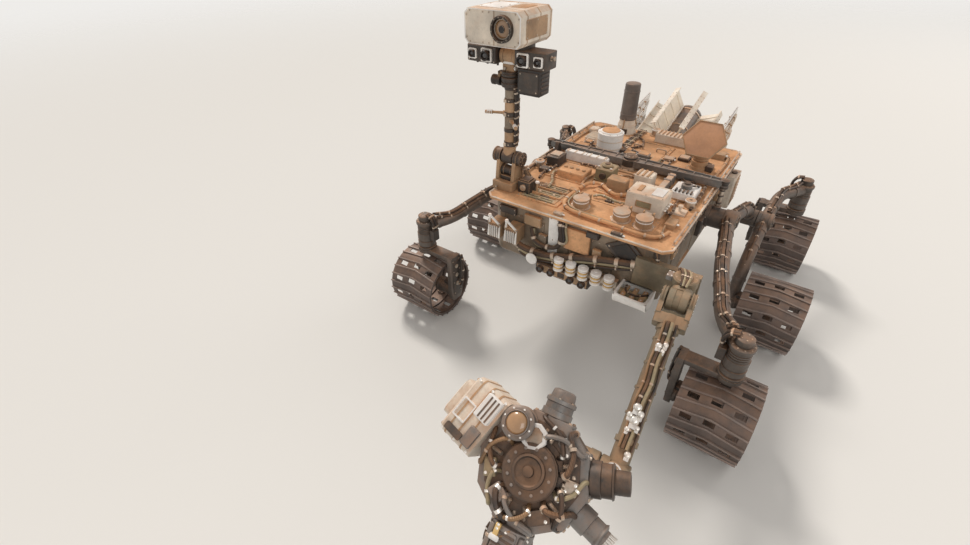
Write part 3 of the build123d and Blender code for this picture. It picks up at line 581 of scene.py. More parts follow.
def make_wheel_shape(side):
    """One wheel about its own centre, with x pointing outboard on the given side."""
    wheel = Shape("wheel_mesh")
    cols, rows = LUGS * 8, 26
    turn = math.tau / cols

    def across(row):
        return -HALF_WIDE + 2 * HALF_WIDE * row / rows

    def spot(col, row, deep):
        x = across(row)
        r = RIM_R - 3 * (abs(x) / HALF_WIDE) ** 4 - deep
        return x * side, r * math.cos(turn * col), r * math.sin(turn * col)

    # slots in every second bay, each between a first and a last row
    gone = set()
    for bay in range(0, LUGS, 2):
        for low, high in ((3, 7), (11, 15), (19, 23)):
            shift = lug_shift(across((low + high) / 2)) / RIM_R
            first = bay * 8 + round((shift + math.pi / LUGS) / turn) - 2
            gone |= {(c % cols, r) for c in range(first, first + 4) for r in range(low, high)}
    # the rim's outer and inner skins, closed round every slot and along both edges
    points = [spot(c, r, deep) for deep in (0, 6) for r in range(rows + 1) for c in range(cols)]
    inner = (rows + 1) * cols
    faces = []
    for r in range(rows):
        for c in range(cols):
            if (c, r) in gone:
                continue
            d = (c + 1) % cols
            a = (r * cols + c, r * cols + d, (r + 1) * cols + d, (r + 1) * cols + c)
            faces += [a, tuple(inner + i for i in reversed(a))]
            sides = (((0, 1), (c, r - 1)), ((1, 2), (d, r)), ((2, 3), (c, r + 1)), ((3, 0), ((c - 1) % cols, r)))
            for (p, q), near in sides:
                if near in gone or not 0 <= near[1] < rows:
                    faces.append((a[q], a[p], inner + a[p], inner + a[q]))
    wheel.put(points, faces, "wheel")
    lug = ((236, -7), (248.5, -5), (249.8, -3), (249.8, 3), (248.5, 5), (236, 7))  # radius, place round the rim
    for i in range(LUGS):
        rings = []
        for k in range(13):
            x = -HALF_WIDE + 2 * HALF_WIDE * k / 12
            a = math.tau * i / LUGS + lug_shift(x) / RIM_R
            rings.append([(x * side, r * math.cos(a + w / RIM_R), r * math.sin(a + w / RIM_R)) for r, w in lug])
        wheel.skin(rings, "lug")
    hub, star = outboard((0, 0, 0), side), flank((0, 0, 0))
    for place, wide, radius, proud in ((195, 10, 222, 14), (62, 10, 226, 9), (172, 6, 230, 5)):
        for x in (-place, place):
            wheel.band(hub.raised(x), radius, wide, "wheel", proud, 96)
    line = flowing(((50, -31), (96, -4), (146, 24), (192, 8), (236, -12)), 6)
    for i in range(6):
        spoke = star.turned(60 * i)
        rings = []
        for k, p in enumerate(line):
            q = line[min(k + 1, len(line) - 1)] - line[max(k - 1, 0)]
            q = Vector((-q.y, q.x)).normalized() * 4.5
            half = 24 - 4 * math.sin(math.pi * k / (len(line) - 1))
            rings.append([spoke(p.x + q.x * e, p.y + q.y * e, half * f)
                          for e, f in ((1, 1), (1, -1), (-1, -1), (-1, 1))])
        wheel.skin(rings, "suspension")
        wheel.pad(Grid(spoke(60, -28), spoke.z, spoke.x), rounded(54, 26, 4), -12, 6, "suspension")
        foot = Grid(spoke(226, -10), spoke.z, -spoke.x)
        wheel.pad(foot, rounded(58, 40, 6), -4, 7, "wheel")
        wheel.bolts(foot.raised(7), ((-20, -12), (20, -12), (-20, 12), (20, 12)), 4.5)
    wheel.lathe(hub,
                ((-18, 40), (-17, 60), (-12, 62), (12, 62), (17, 60), (18, 52), (20, 50), (22, 36), (30, 33),
                 (40, 26), (46, 14), (47, 4)), "suspension", 32)
    wheel.bolts(hub.raised(18), circle(8, 55), 4.5)
    wheel.bolts(hub.raised(21), circle(6, 42, 0.3), 4, "dark")
    return wheel


def make_wheels():
    for side, name in SIDES:
        shape = make_wheel_shape(side)
        mesh = shape.mesh(shift=Vector((0, 0, 0)), crease=28)
        for place, y, track in (("front", -AXLE_Y, TRACK), ("middle", 0, MIDDLE_TRACK), ("rear", AXLE_Y, TRACK)):
            shape.name = f"wheel_{place}_{name}_dressed"
            shape.dress("wheel_metal", location=(side * track, y, WHEEL_R), mesh=mesh)


def drive(shape, x, y, side):
    """A wheel's drive motor inside the rim, with its axle stub."""
    shape.motor((x - side * 250, y, WHEEL_R), (x - side * 90, y, WHEEL_R), 60)
    shape.drum((x - side * 91, y, WHEEL_R), (x - side * 26, y, WHEEL_R), 36, "aluminium")
    shape.rod((x - side * 30, y, WHEEL_R), (x + side * 30, y, WHEEL_R), 15.5, "silver")
    shape.box((x - side * 232, y - 34, WHEEL_R + 52), (x - side * 170, y + 34, WHEEL_R + 78), "dark")


def make_knuckles():
    for side, name in SIDES:
        for place, y in (("front", -AXLE_Y), ("rear", AXLE_Y)):
            x = side * TRACK
            leg = x - side * 255
            piece = Shape(f"knuckle_{place}_{name}_dressed")
            top = Grid((x, y, 536))
            piece.lathe(top, ((0, 60), (3, 70), (30, 70), (31, 66), (36, 66), (37, 71), (48, 71), (50, 68)),
                        "suspension", 40)
            piece.bolts(top.raised(36), circle(12, 68.5), 3)
            piece.box((x, y - 46, 536), (leg + side * 14, y + 46, 571), "suspension")
            wall = flank((leg, y, 0), side)
            outline = [(-52, 572), (52, 572), (66, 300), (58, 210), (40, 178), (-40, 178), (-58, 210), (-66, 300)]
            piece.slab(wall, outline, -19, 19, "suspension")
            piece.slab(wall, [(a * 0.72, 375 + (b - 375) * 0.8) for a, b in outline], -23, -18, "dark")
            for z in (330, 410, 490):
                piece.lathe(flank((leg - side * 22, y, z), -side), ((0, 17), (5, 17), (7, 12)), "aluminium", 16)
            piece.bolts(flank((leg - side * 22, y, 0), -side),
                        [(s * 34, z) for s in (-1, 1) for z in (250, 350, 450, 545)], 5)
            piece.harness([(leg - side * 26, y + 60, 560), (leg - side * 38, y + 58, 480),
                           (leg - side * 40, y + 44, 380), (leg - side * 34, y + 30, 300),
                           (x - side * 236, y + 20, 322)], 10, clips=4)
            piece.harness([(leg - side * 26, y + 44, 560), (leg - side * 36, y + 42, 470),
                           (leg - side * 38, y + 22, 370), (x - side * 226, y, 324)], 8, "black")
            drive(piece, x, y, side)
            piece.dress("dark_metal", 1.6)


def steering(shape, x, y, side):
    """A steering motor over a wheel: stacked housings, a cable box and a hoop of cable."""
    top = Grid((x, y, 0))
    profile = [(588, 30), (592, 30), (592.5, 58), (596, 66), (634, 66), (636, 61), (646, 61), (648, 65), (700, 65),
               (702, 60)]
    for i in range(3):
        z = 716 + 16 * i
        profile += [(z, 60), (z + 1, 56), (z + 7, 56), (z + 8, 60)]
    profile += [(774, 60), (776, 66), (792, 66), (799, 60), (800, 46), (838, 46), (843, 40), (844, 30)]
    shape.lathe(top, profile, "suspension", 36)
    shape.bolts(top.raised(799), circle(10, 56), 4)
    shape.bolts(top.raised(843), circle(5, 26), 4)
    shape.box((x - side * 60, y - 30, 654), (x - side * 104, y + 30, 740), "dark")
    for k, (dy, r) in enumerate(((-16, 9), (4, 11), (22, 8))):
        shape.harness([(x - side * 90, y + dy, 738), (x - side * 96, y + dy, 790), (x - side * 74, y + dy, 838),
                       (x - side * 30, y + dy * 0.8, 852)], r, "cable" if k != 1 else "black", 2)


LIMB_R = 43


def limb(shape, points):
    """A tubular suspension member with eased corners and bolted clamp bands."""
    shape.tube(eased(points, 90), LIMB_R, "suspension", 24)
    for a, b in zip(points, points[1:]):
        grid, long = axis(a, b)
        for share in ((0.3, 0.7) if long > 350 else (0.5,)):
            spot = grid.raised(long * share)
            shape.band(spot, LIMB_R - 1, 20, "suspension", 5, 28)
            shape.bolts(Grid(spot(LIMB_R + 3, 0), spot.z, spot.x), ((0, 0),), 5)


ROCKER_PIVOT, BOGIE_PIVOT = (-60, 900), (480, 700)  # y and height


def beside(points, up, out, side):
    """A cable route that keeps the same offset from a limb's points."""
    return [Vector(p) + Vector((side * out, 0, up)) for p in points]


def make_suspension():
    for s, name in SIDES:
        rocker = Shape(f"rocker_{name}_dressed")
        pivot = outboard((s * 592, *ROCKER_PIVOT), s)
        rocker.lathe(pivot,
                     ((0, 70), (3, 76), (30, 76), (32, 70), (120, 70), (122, 76), (196, 76), (202, 72), (206, 66),
                      (208, 40)), "suspension", 40)
        rocker.bolts(pivot.raised(206), circle(10, 56), 6)
        rocker.lathe(pivot.raised(206), ((0, 34), (8, 34), (12, 26)), "dark", 24)
        rocker.box((s * 626, -82, 940), (s * 674, -38, 990), "suspension", 5)
        front = [(s * 740, *ROCKER_PIVOT), (s * 850, -640, 880), (s * 960, -960, 790), (s * TRACK, -AXLE_Y, 750)]
        back = [(s * 740, *ROCKER_PIVOT), (s * 800, 300, 850), (s * 830, *BOGIE_PIVOT)]
        limb(rocker, front)
        limb(rocker, back)
        rocker.drum((s * 778, *BOGIE_PIVOT), (s * 877, *BOGIE_PIVOT), 64, "suspension")
        rocker.bolts(outboard((s * 778, *BOGIE_PIVOT), -s), circle(8, 50), 5)
        steering(rocker, s * TRACK, -AXLE_Y, s)
        for up, out, r, look in ((50, -14, 11, "cable"), (46, 8, 8, "black"), (30, -34, 9, "cable")):
            route = [(s * 745, -100, 902), (s * 790, -300, 895), (s * 826, -500, 886), (s * 856, -640, 878),
                     (s * 910, -800, 838), (s * 962, -944, 798), (s * 1020, -1010, 790), (s * 1045, -1060, 800)]
            rocker.harness(beside(route, up, out, s), r, look, 7)
        for up, out, r, look in ((48, 10, 10, "cable"), (44, -12, 8, "cable")):
            route = [(s * 742, -20, 900), (s * 770, 130, 880), (s * 798, 290, 852), (s * 822, 390, 790),
                     (s * 832, 455, 745)]
            rocker.harness(beside(route, up, out, s), r, look, 5)
        rocker.dress("dark_metal")

        bogie = Shape(f"bogie_{name}_dressed")
        head = outboard((s * 878.5, *BOGIE_PIVOT), s)
        bogie.lathe(head,
                    ((0, 60), (3, 66), (24, 66), (26, 61), (80, 61), (82, 66), (104, 66), (109, 60), (110, 34),
                     (116, 34), (119, 26)), "suspension", 40)
        bogie.bolts(head.raised(108), circle(8, 50), 5)
        low = [(s * 930, *BOGIE_PIVOT), (s * 930, 130, 560), (s * 930, 0, 250)]
        high = [(s * 930, *BOGIE_PIVOT), (s * 960, 800, 790), (s * TRACK, AXLE_Y, 750)]
        limb(bogie, low)
        limb(bogie, high)
        drive(bogie, s * MIDDLE_TRACK, 0, s)
        steering(bogie, s * TRACK, AXLE_Y, s)
        route = [(s * 930, 440, 690), (s * 930, 300, 630), (s * 930, 150, 572), (s * 932, 60, 430),
                 (s * 935, 20, 330)]
        bogie.harness(beside(route, 44, 0, s), 10, "cable", 5)
        for up, out, end, r, look, clips in ((48, 0, 1010, 11, "cable", 5), (44, 22, 1020, 8, "black", 4)):
            route = [(s * 934, 520, 712), (s * 948, 660, 752), (s * 962, 800, 792), (s * 1010, 920, 780),
                     (s * 1050, end, 790)]
            bogie.harness(beside(route, up, out, s), r, look, clips)
        bogie.dress("dark_metal")


# Arm

HEADING, LIFT = math.radians(5.0), -31.0
AHEAD = Vector((math.sin(HEADING), -math.cos(HEADING), 0))
ACROSS = Vector((0, 0, 1)).cross(AHEAD)


def link_grid(place, degrees):
    """A link's axes as in the part's source: x runs along the link and z is its hinge."""
    a = math.radians(degrees)
    return Grid(place, AHEAD * math.cos(a) + Vector((0, 0, math.sin(a))), ACROSS)


SHOULDER = Vector((740, -1090, 1000))
UPPER_LONG, FORE_LONG = 900, 830  # lengths of the arm's two links
UPPER = link_grid(SHOULDER + AHEAD * 130, LIFT)
FORE = link_grid(UPPER(UPPER_LONG, 0, -150), LIFT + 84)
WRIST = link_grid(FORE(FORE_LONG, 0, 0), LIFT + 84)


def collar(shape, grid, x, radius, wide):
    """A bolted flange round a link's tube."""
    here = Grid(grid(x, 0, 0), grid.y, grid.x)
    shape.lathe(here,
                ((-wide / 2, radius - 3), (-wide / 2 + 2, radius), (wide / 2 - 2, radius), (wide / 2, radius - 3)),
                "arm", 32)
    shape.bolts(here.raised(wide / 2), circle(6, radius - 8), 4)


def hinge_drum(shape, grid, x, low, high, radius, cap="aluminium"):
    """A joint's motor drum across a link, with a bolted cover at its far end."""
    here = Grid(grid(x, 0, low), grid.x, grid.z if high > low else -grid.z)
    long = abs(high - low)
    r = radius
    shape.lathe(here,
                ((0, r - 4), (3, r), (long * 0.3, r), (long * 0.32, r - 4), (long * 0.6, r - 4), (long * 0.62, r),
                 (long - 5, r), (long, r - 5)), "arm", 40)
    shape.bolts(here.raised(long - 1), circle(10, r - 12), 4.5, cap)


def cheek(shape, grid, middle, aside, long, high, thick):
    """A fork cheek with clipped corners and four bolts."""
    side = Grid(grid(middle, 0, aside), grid.x, grid.z)
    c = high / 3
    outline = [(long / 2, high / 2 - c), (long / 2 - c, high / 2), (-long / 2 + c, high / 2),
               (-long / 2, high / 2 - c), (-long / 2, -high / 2 + c), (-long / 2 + c, -high / 2),
               (long / 2 - c, -high / 2), (long / 2, -high / 2 + c)]
    shape.slab(side, outline, -thick, thick, "arm")
    out = 1 if aside > 0 else -1
    shape.bolts(Grid(side(0, 0, out * thick), grid.x, grid.z * out), spread(long * 0.3, high * 0.28), 4)


def make_shoulder():
    shoulder = Shape("arm_shoulder_dressed")
    base = Grid(SHOULDER - Vector((0, 0, 90)))
    shoulder.lathe(base,
                   ((0, 60), (3, 66), (40, 66), (42, 62), (110, 62), (112, 66), (152, 66), (156, 62), (160, 60),
                    (161, 30), (166, 26)), "arm", 40)
    shoulder.bolts(base.raised(158), circle(10, 52), 4.5)
    shoulder.drum(SHOULDER, SHOULDER + AHEAD * 100, 54, "arm")
    hinge_drum(shoulder, UPPER, 0, -52, 52, 60)
    shoulder.box(SHOULDER + Vector((-96, -26, 28)), SHOULDER + Vector((-56, 26, 58)), "grey", 5)
    shoulder.bolts(Grid(SHOULDER + Vector((-80, 0, 58))), ((-10, -18), (10, -18), (-10, 18), (10, 18)), 3.5,
                   "silver")
    near, fore = Grid(SHOULDER), Grid(SHOULDER + AHEAD * 80)
    for k in range(4):
        shoulder.harness([near(-46 + 9 * k, 44, -50), near(-52 + 11 * k, 50, 0), near(-48 + 14 * k, 44, 74),
                          near(-20 + 14 * k, -10, 86), fore(8 * k - 10, 0, 60)], 7, "olive" if k % 2 else "cable",
                         3)
    shoulder.dress("arm_metal")


def make_upper_arm():
    upper = Shape("upper_arm_dressed")
    hinge_drum(upper, UPPER, 0, 58, 84, 62, cap="silver")
    hinge_drum(upper, UPPER, 0, -58, -84, 62)
    for side in (-1, 1):
        cheek(upper, UPPER, 64, side * 70, 132, 92, 12)
    box = Grid(UPPER(122, 0, 0), UPPER.z, UPPER.x)
    upper.slab(box, rounded(164, 84, 14), -30, 30, "arm")
    tube = Grid(UPPER(92, 0, 0), UPPER.y, UPPER.x)
    upper.lathe(tube,
                ((0, 48), (60, 48), (62, 56), (84, 56), (86, 47), (640, 47), (642, 55), (668, 55), (670, 47),
                 (770, 47), (790, 47)), "arm", 32)
    for x in (230, 360, 490, 620, 750):
        collar(upper, UPPER, x, 52, 14)
    hinge_drum(upper, UPPER, UPPER_LONG, -76, 60, 60, cap="silver")
    cap = Grid(UPPER(UPPER_LONG, 0, 60), UPPER.x, UPPER.z)
    upper.lathe(cap, ((0, 44), (3, 44), (5, 38), (5.5, 20), (8, 19), (10, 6)), "bright", 32)
    upper.bolts(cap.raised(4), circle(6, 30), 5, "silver")
    # the link's own y points down, so its cables lie at a negative y
    cables = ((-56, 14, 8, "olive", 3), (-57, -4, 9, "cable", 4), (-54, -22, 7, "amber", 3),
              (-42, 36, 6, "black", 4))
    sway = (0, 3, -3, 4, -3, 2, 0)
    for y, z, r, look, clips in cables:
        upper.harness([UPPER(140 + 108 * i, y - (0 if i % 2 else 3), z + sway[i]) for i in range(7)], r, look,
                      clips)
    # bright connectors in clusters along the link: columns are place, side, size
    plugs = ((262, 20, 13), (276, -8, 16), (296, 16, 11), (590, -2, 20), (616, 20, 17), (634, -22, 15),
             (652, 4, 22), (680, 26, 12), (700, -12, 13), (806, 26, 15))
    for x, z, size in plugs:
        here = Grid(UPPER(x, -58, z), UPPER.x, -UPPER.y)
        upper.lathe(here,
                    ((0, size), (size * 0.6, size), (size * 0.8, size * 0.8), (size * 1.2, size * 0.7),
                     (size * 1.3, size * 0.5)), "silver", 14)
        upper.pad(here.moved(size, 0), rounded(size * 1.6, size * 1.5, 3), -6, size * 0.6, "bright")
    # a patterned cap on top of the elbow
    disc = Grid(UPPER(UPPER_LONG, -58, -8), UPPER.x, -UPPER.y)
    upper.lathe(disc, ((-14, 46), (2, 46), (5, 42), (5.5, 10)), "arm", 36)
    upper.hoop(disc, 36, ((40, 4), (40, 8), (32, 8), (32, 4)), "bright", loop=True)
    upper.bolts(disc.raised(5), circle(8, 24), 4.5, "bright")
    upper.lathe(disc, ((4, 12), (8, 12), (9, 8), (9, 5), (12, 4)), "bright", 20)
    upper.dress("arm_metal")


def make_forearm():
    fore = Shape("forearm_dressed")
    hinge_drum(fore, FORE, 0, -60, 68, 62)
    tube = Grid(FORE.o, FORE.y, FORE.x)
    fore.lathe(tube,
               ((40, 42), (120, 42), (122, 50), (142, 50), (144, 41), (560, 41), (562, 50), (582, 50), (584, 42),
                (760, 42)), "arm", 32)
    box = Grid(FORE(698, 0, 0), FORE.z, FORE.x)
    fore.slab(box, rounded(152, 72, 12), -28, 28, "arm")
    for side in (-1, 1):
        cheek(fore, FORE, 770, side * 68, 200, 84, 9)
        hinge_drum(fore, FORE, FORE_LONG, side * 76, side * 90, 34)
    for x in (240, 350, 460):
        collar(fore, FORE, x, 46, 12)
    for y, z, r, look in ((-50, 10, 7, "olive"), (-50, -8, 7, "cable"), (48, 0, 7, "cable")):
        side = 1 if y > 0 else -1
        # the last stretch lies flat, clear of the drill when the wrist is folded
        lay = [y, y + 4 * side, y, y + 2 * side, 45 * side, 45 * side]
        fore.harness([FORE(90 + 115 * i, lay[i], z + (3 if i % 3 else -3)) for i in range(6)], r, look, 4)
    fore.dress("arm_metal")


def make_wrist():
    wrist = Shape("arm_wrist_dressed")
    hinge_drum(wrist, WRIST, 0, -53, 53, 46)
    here = Grid(WRIST.o, WRIST.y, WRIST.x)
    wrist.lathe(here, ((20, 40), (50, 44), (104, 44), (106, 40), (110, 40)), "arm", 32)
    wrist.bolts(here.raised(108), circle(8, 34), 3.5)
    wrist.dress("arm_metal")


HUB = Grid(WRIST(114, 0, 0), WRIST.z, WRIST.x)


def tool_place(turn):
    """Axes at a side of the turret, facing away from its hub."""
    out = HUB.turned(turn).x
    return Grid(HUB(0, 0, 70) + out * 150, HUB.z, out)


SENSOR_AT, SAMPLER_AT, DRILL_AT, BRUSH_AT, CAMERA_TOOL_AT = TOOLS = [tool_place(t) for t in (90, 162, 270, 342, 18)]


def make_turret_core():
    hub = HUB
    core = Shape("turret_dressed")
    # the core's dark and black tiers are painted shade, darker than the housing really is, and its grey tiers stand
    # for the lit parts of it
    core.lathe(hub, ((0, 70), (3, 76), (22, 76), (24, 70), (28, 70)), "grey", 36)
    outline = circle(10, 150 / math.cos(math.pi / 10))
    core.slab(hub, outline, 25, 60, "dark")
    core.slab(hub, [(x * 0.96, y * 0.96) for x, y in outline], 59, 66, "black")
    core.slab(hub, outline, 65, 115, "grey")
    core.slab(hub, [(x * 0.86, y * 0.86) for x, y in outline], 112, 120, "dark")
    core.lathe(hub,
               ((112, 92), (124, 90), (127, 76), (142, 76), (144, 72), (148, 72), (150, 66), (150.5, 46), (156, 44),
                (158, 38), (154, 34), (153.5, 16), (160, 14), (162, 9)), "dark", 44)
    core.bolts(hub.raised(149), circle(12, 58), 4.5, "grey")
    core.bolts(hub.raised(119), circle(10, 114, 0.3), 5)
    for k in range(20):
        rib = hub.turned(18 * k)
        core.slab(Grid(rib(76, 0, 134), rib.y, rib.z), ((-3, -1), (3, -1), (3, 5), (-3, 5)), -8, 8, "black")
    # a stub with a pale ring beside the hub
    ring = hub.turned(104).moved(88, 0, 116)
    core.lathe(ring, ((-2, 32), (24, 32), (26, 29), (26.5, 12)), "grey", 32)
    core.hoop(ring, 8, ((36, 18), (38, 22), (38, 32), (35, 35), (27, 35), (25, 27)), "bright", 0.4, caps=False)
    core.lathe(ring, ((25, 25), (28, 24), (29, 15), (29.5, 4)), "aluminium", 26)
    # clamp blocks behind each tool
    for tool in TOOLS:
        core.pad(tool, rounded(86, 120, 10), -24, 2, "grey")
        core.bolts(tool.raised(2), spread(34, 50), 5)
        for j in (-1, 1):
            core.rod(tool(44, j * 30, -30), tool(62, j * 22, -64), 6, "aluminium", 12)
    # cables that loop over the face: columns are turns of start and end, rise, radius, finish
    loops = ((20, 62, 150, 8, "cable"), (48, 96, 140, 6, "black"), (84, 40, 146, 7, "grey"),
             (196, 158, 146, 7, "cable"), (150, 196, 152, 6, "amber"), (232, 262, 150, 9, "black"),
             (250, 290, 142, 7, "grey"), (290, 256, 148, 6, "amber"), (318, 340, 150, 8, "cable"),
             (344, 14, 144, 6, "olive"), (352, 318, 152, 7, "black"), (206, 238, 140, 6, "olive"))
    for i, (start, end, rise, r, look) in enumerate(loops):
        middle = (start + end) / 2 if abs(end - start) < 180 else (start + end + 360) / 2
        a, b, c = (hub.turned(t) for t in (start, middle, end))
        core.harness([a(80, 0, 122), a(100, 0, rise), b(124, 0, rise - 6), c(142, 0, 128), c(153, 0, 96),
                      c(154, 0, 70)], r, look, 3, "silver" if i % 2 else "aluminium")
    # small boxes on the face: columns are turn, distance out, width, depth, height, finish
    boxes = ((200, 112, 50, 34, 138, "olive"), (236, 104, 44, 40, 146, "grey"), (304, 112, 60, 36, 140, "dark"),
             (54, 116, 48, 30, 136, "grey"), (4, 112, 36, 36, 134, "aluminium"))
    for turn, out, wide, deep, high, look in boxes:
        spot = hub.turned(turn).moved(out, 0)
        core.pad(spot, rounded(deep, wide, 5), 112, high, look)
        core.bolts(spot.raised(high), ((-deep * 0.3, -wide * 0.32), (deep * 0.3, wide * 0.32)), 3.6, "silver")
    core.dress("tool_metal")


def make_drill():
    drill = Shape("drill_dressed")
    g = DRILL_AT
    drill.lathe(g,
                ((0, 56), (4, 62), (30, 62), (32, 57), (66, 57), (68, 59.5), (92, 59.5), (98, 56), (100, 32),
                 (130, 30), (138, 26), (140, 9), (176, 8), (180, 3)), "grey", 36)
    for i in range(14):
        fin = g.turned(360 * i / 14).moved(59, 0, 49)
        drill.slab(fin, ((-4, -2), (3, -2), (3, 2), (-4, 2)), -16, 16, "grey")
    for y in (-44, 44):
        drill.rod(g(0, y, 94), g(0, y, 172), 9, "silver", 12)
        drill.rod(g(0, y, 172), g(0, y, 180), 9, "black", 12, 5)
        drill.drum(g(0, y, 92), g(0, y, 108), 14, "aluminium", 16, 2)
    drill.bolts(g.raised(97), circle(8, 48, 0.2), 4.5)
    for i in range(6):
        a = math.tau * i / 6 + 0.9
        drill.harness([g(math.cos(a) * 58, math.sin(a) * 58, 6),
                       g(math.cos(a + 0.3) * 62, math.sin(a + 0.3) * 62, 30),
                       g(math.cos(a + 0.5) * 61, math.sin(a + 0.5) * 61, 62),
                       g(math.cos(a + 0.7) * 54, math.sin(a + 0.7) * 54, 94)], 4.5,
                      ("cable", "grey", "amber")[i % 3], 3, "silver")
    plate = Grid(g(59, 0, 48), g.y, g.x)
    drill.pad(plate, rounded(62, 78, 6), -10, 5, "grey")
    for i in range(5):
        drill.slab(plate.moved(0, 14 * i - 28), rounded(56, 6, 2), 4, 8, "dark")
    drill.pad(Grid(g(61, 24, 20), g.z, g.x), rounded(40, 16, 4), -6, 8, "gold")
    drill.pad(Grid(g(61, 24, 38), g.z, g.x), rounded(14, 28, 4), -6, 11, "bright")
    drill.bolts(Grid(g(69, 24, 14), g.z, g.x), ((0, 0), (-10, 0)), 3, "silver")
    for i in (-1, 1):
        drill.drum(g(46, i * 42, 10), g(46, i * 42, 84), 9, "grey", 18, 2)
        drill.drum(g(46, i * 42, 40), g(46, i * 42, 50), 11, "aluminium", 18, 2)
    drill.dress("tool_metal")


def make_sample_processor():
    box = Shape("sample_processor_dressed")
    g = SAMPLER_AT
    box.slab(g, rounded(170, 190, 20), 0, 112, "white")
    box.pad(g, rounded(170, 190, 20), 112, 121, "white", 6)
    for z in (30, 62, 94):
        box.slab(g, rounded(173, 193, 21), z, z + 5, "tan")
    box.slab(g, rounded(112, 122, 14), 118, 150, "white")
    box.pad(g, rounded(112, 122, 14), 150, 154, "white", 5)
    box.frame(g, rounded(84, 92, 5), ((1, 153), (1, 158), (0.9, 158), (0.9, 153)), "bright", loop=True)
    for y in (-66, 66):
        box.rod(g(-60, y, 121), g(60, y, 121), 7, "aluminium", 12)
    face = Grid(g(85, 0, 60), g.y, g.x)
    box.frame(face.moved(-6, 30), rounded(62, 46, 3), ((1, -1), (1, 5), (0.86, 5), (0.84, -1)), "bright", loop=True)
    box.pad(face.moved(44, -26), rounded(76, 52, 5), -3, 20, "bright")
    for i in range(3):
        box.slab(face.moved(44, -42 + 13 * i), rounded(68, 5, 2), 18, 21, "dark")
    box.pad(face.moved(-48, -34), rounded(58, 34, 4), -3, 10, "grey")
    box.bolts(face, spread(86, 50, 2, 3), 3.6, "silver")
    box.slab(face.moved(-70, 16), rounded(22, 60, 4), -2, 6, "dark")
    box.bolts(g.raised(120), spread(70, 80), 5)
    box.dress("white_paint")


def make_turret_sensors():
    tips = Shape("turret_sensors_dressed")
    g = SENSOR_AT
    tips.lathe(g,
               ((0, 40), (3, 44), (20, 44), (22, 40), (40, 40), (42, 44), (52, 44), (55, 36), (72, 34), (78, 32),
                (82, 24), (82, 12)), "grey", 32)
    tips.bolts(g.raised(54), circle(6, 39), 3)
    g = CAMERA_TOOL_AT
    tips.lathe(g,
               ((0, 44), (4, 48), (30, 48), (32, 44), (58, 44), (60, 48), (64, 44), (65, 32), (98, 31), (104, 30),
                (105, 24), (99, 22)), "dark", 32)
    tips.lathe(g.raised(98), ((0, 21), (2, 19), (5, 12), (6, 3)), "lens", 24)
    g = BRUSH_AT
    tips.lathe(g, ((0, 32), (3, 36), (40, 36), (42, 31), (70, 31), (76, 36), (80, 30), (82, 24), (90, 24)), "grey",
               28)
    for i in range(40):
        a = math.tau * i / 20
        r = 12 + 10 * (i // 20)
        tips.rod(g(math.cos(a) * r, math.sin(a) * r, 88), g(math.cos(a) * r * 1.08, math.sin(a) * r * 1.08, 110),
                 1.4, "silver", 4)
    eye = HUB.turned(126).moved(124, 0)
    tips.lathe(eye,
               ((110, 44), (116, 48), (124, 48), (126, 45), (152, 45), (154, 47), (162, 47), (167, 42), (168, 35),
                (174, 34), (175, 32), (171, 30)), "grey", 40)
    tips.bolts(eye.raised(167), circle(8, 39), 2.6, "silver")
    tips.lathe(eye, ((168, 31), (172, 29), (176, 24), (179, 16), (180, 6)), "tan_lens", 36)
    tips.dress("tool_metal")


# Mast

MAST = (-560, -800, 0)
UPRIGHT = Grid((0, 0, 0))


def make_mast_base():
    base = Shape("mast_base_dressed")
    x, y, _ = MAST
    base.box((x - 78, y - 88, DECK), (x + 78, y + 88, 1165), "tan", 6)
    base.bolts(Grid((x, y, 1165)), spread(62, 72, 2, 3), 6)
    for s in (1, -1):
        plate = flank((x + s * 60, y, 0), s)
        base.slab(plate, [(-60, 1155), (60, 1155), (42, 1315), (24, 1340), (-24, 1340), (-42, 1315)], -12, 12,
                  "tan")
        drum = flank((x + s * 48, y, 1315), s)
        base.lathe(drum,
                   ((0, 44), (3, 48), (24, 48), (26, 44), (46, 44), (48, 48), (57, 48), (60, 43), (60.5, 22),
                    (64, 18)), "dark", 36)
        base.bolts(drum.raised(59), circle(8, 36), 4)
        base.bolts(flank((x + s * 72, y, 0), s), [(i * 38, 1180) for i in (-1, 0, 1)], 5)
    base.box((x - 40, y - 46, 1160), (x + 40, y + 46, 1196), "dark", 4)
    base.lathe(flank((x - 49, y, 1220)), ((0, 38), (22, 38), (24, 34), (74, 34), (76, 38), (98, 38)), "black", 32)
    base.box((x + 100, y - 50, 1108), (x + 190, y + 40, 1192), "dark", 5)
    base.box((x + 112, y - 44, 1190), (x + 178, y + 30, 1202), "black", 3)
    base.drum((x + 146, y - 64, 1152), (x + 146, y - 48, 1152), 22, "aluminium", 20, 3)
    base.rod((x + 215, y + 10, 1108), (x + 215, y + 10, 1180), 7, "tan", 12)
    base.drum((x + 215, y + 10, 1178), (x + 215, y + 10, 1190), 15, "bright", 16, 3)
    for k in range(4):
        base.harness([(x + 84, y + 30 + 13 * k, 1260 - 8 * k), (x + 98, y + 44 + 13 * k, 1200),
                      (x + 120 + 9 * k, y + 62 + 12 * k, 1140), (x + 170 + 12 * k, y + 84 + 14 * k, 1122),
                      (x + 250, y + 96 + 15 * k, 1121)], 6.5, ("cable", "black", "amber", "cable")[k], 4)
    base.dress("white_paint", 1.2)


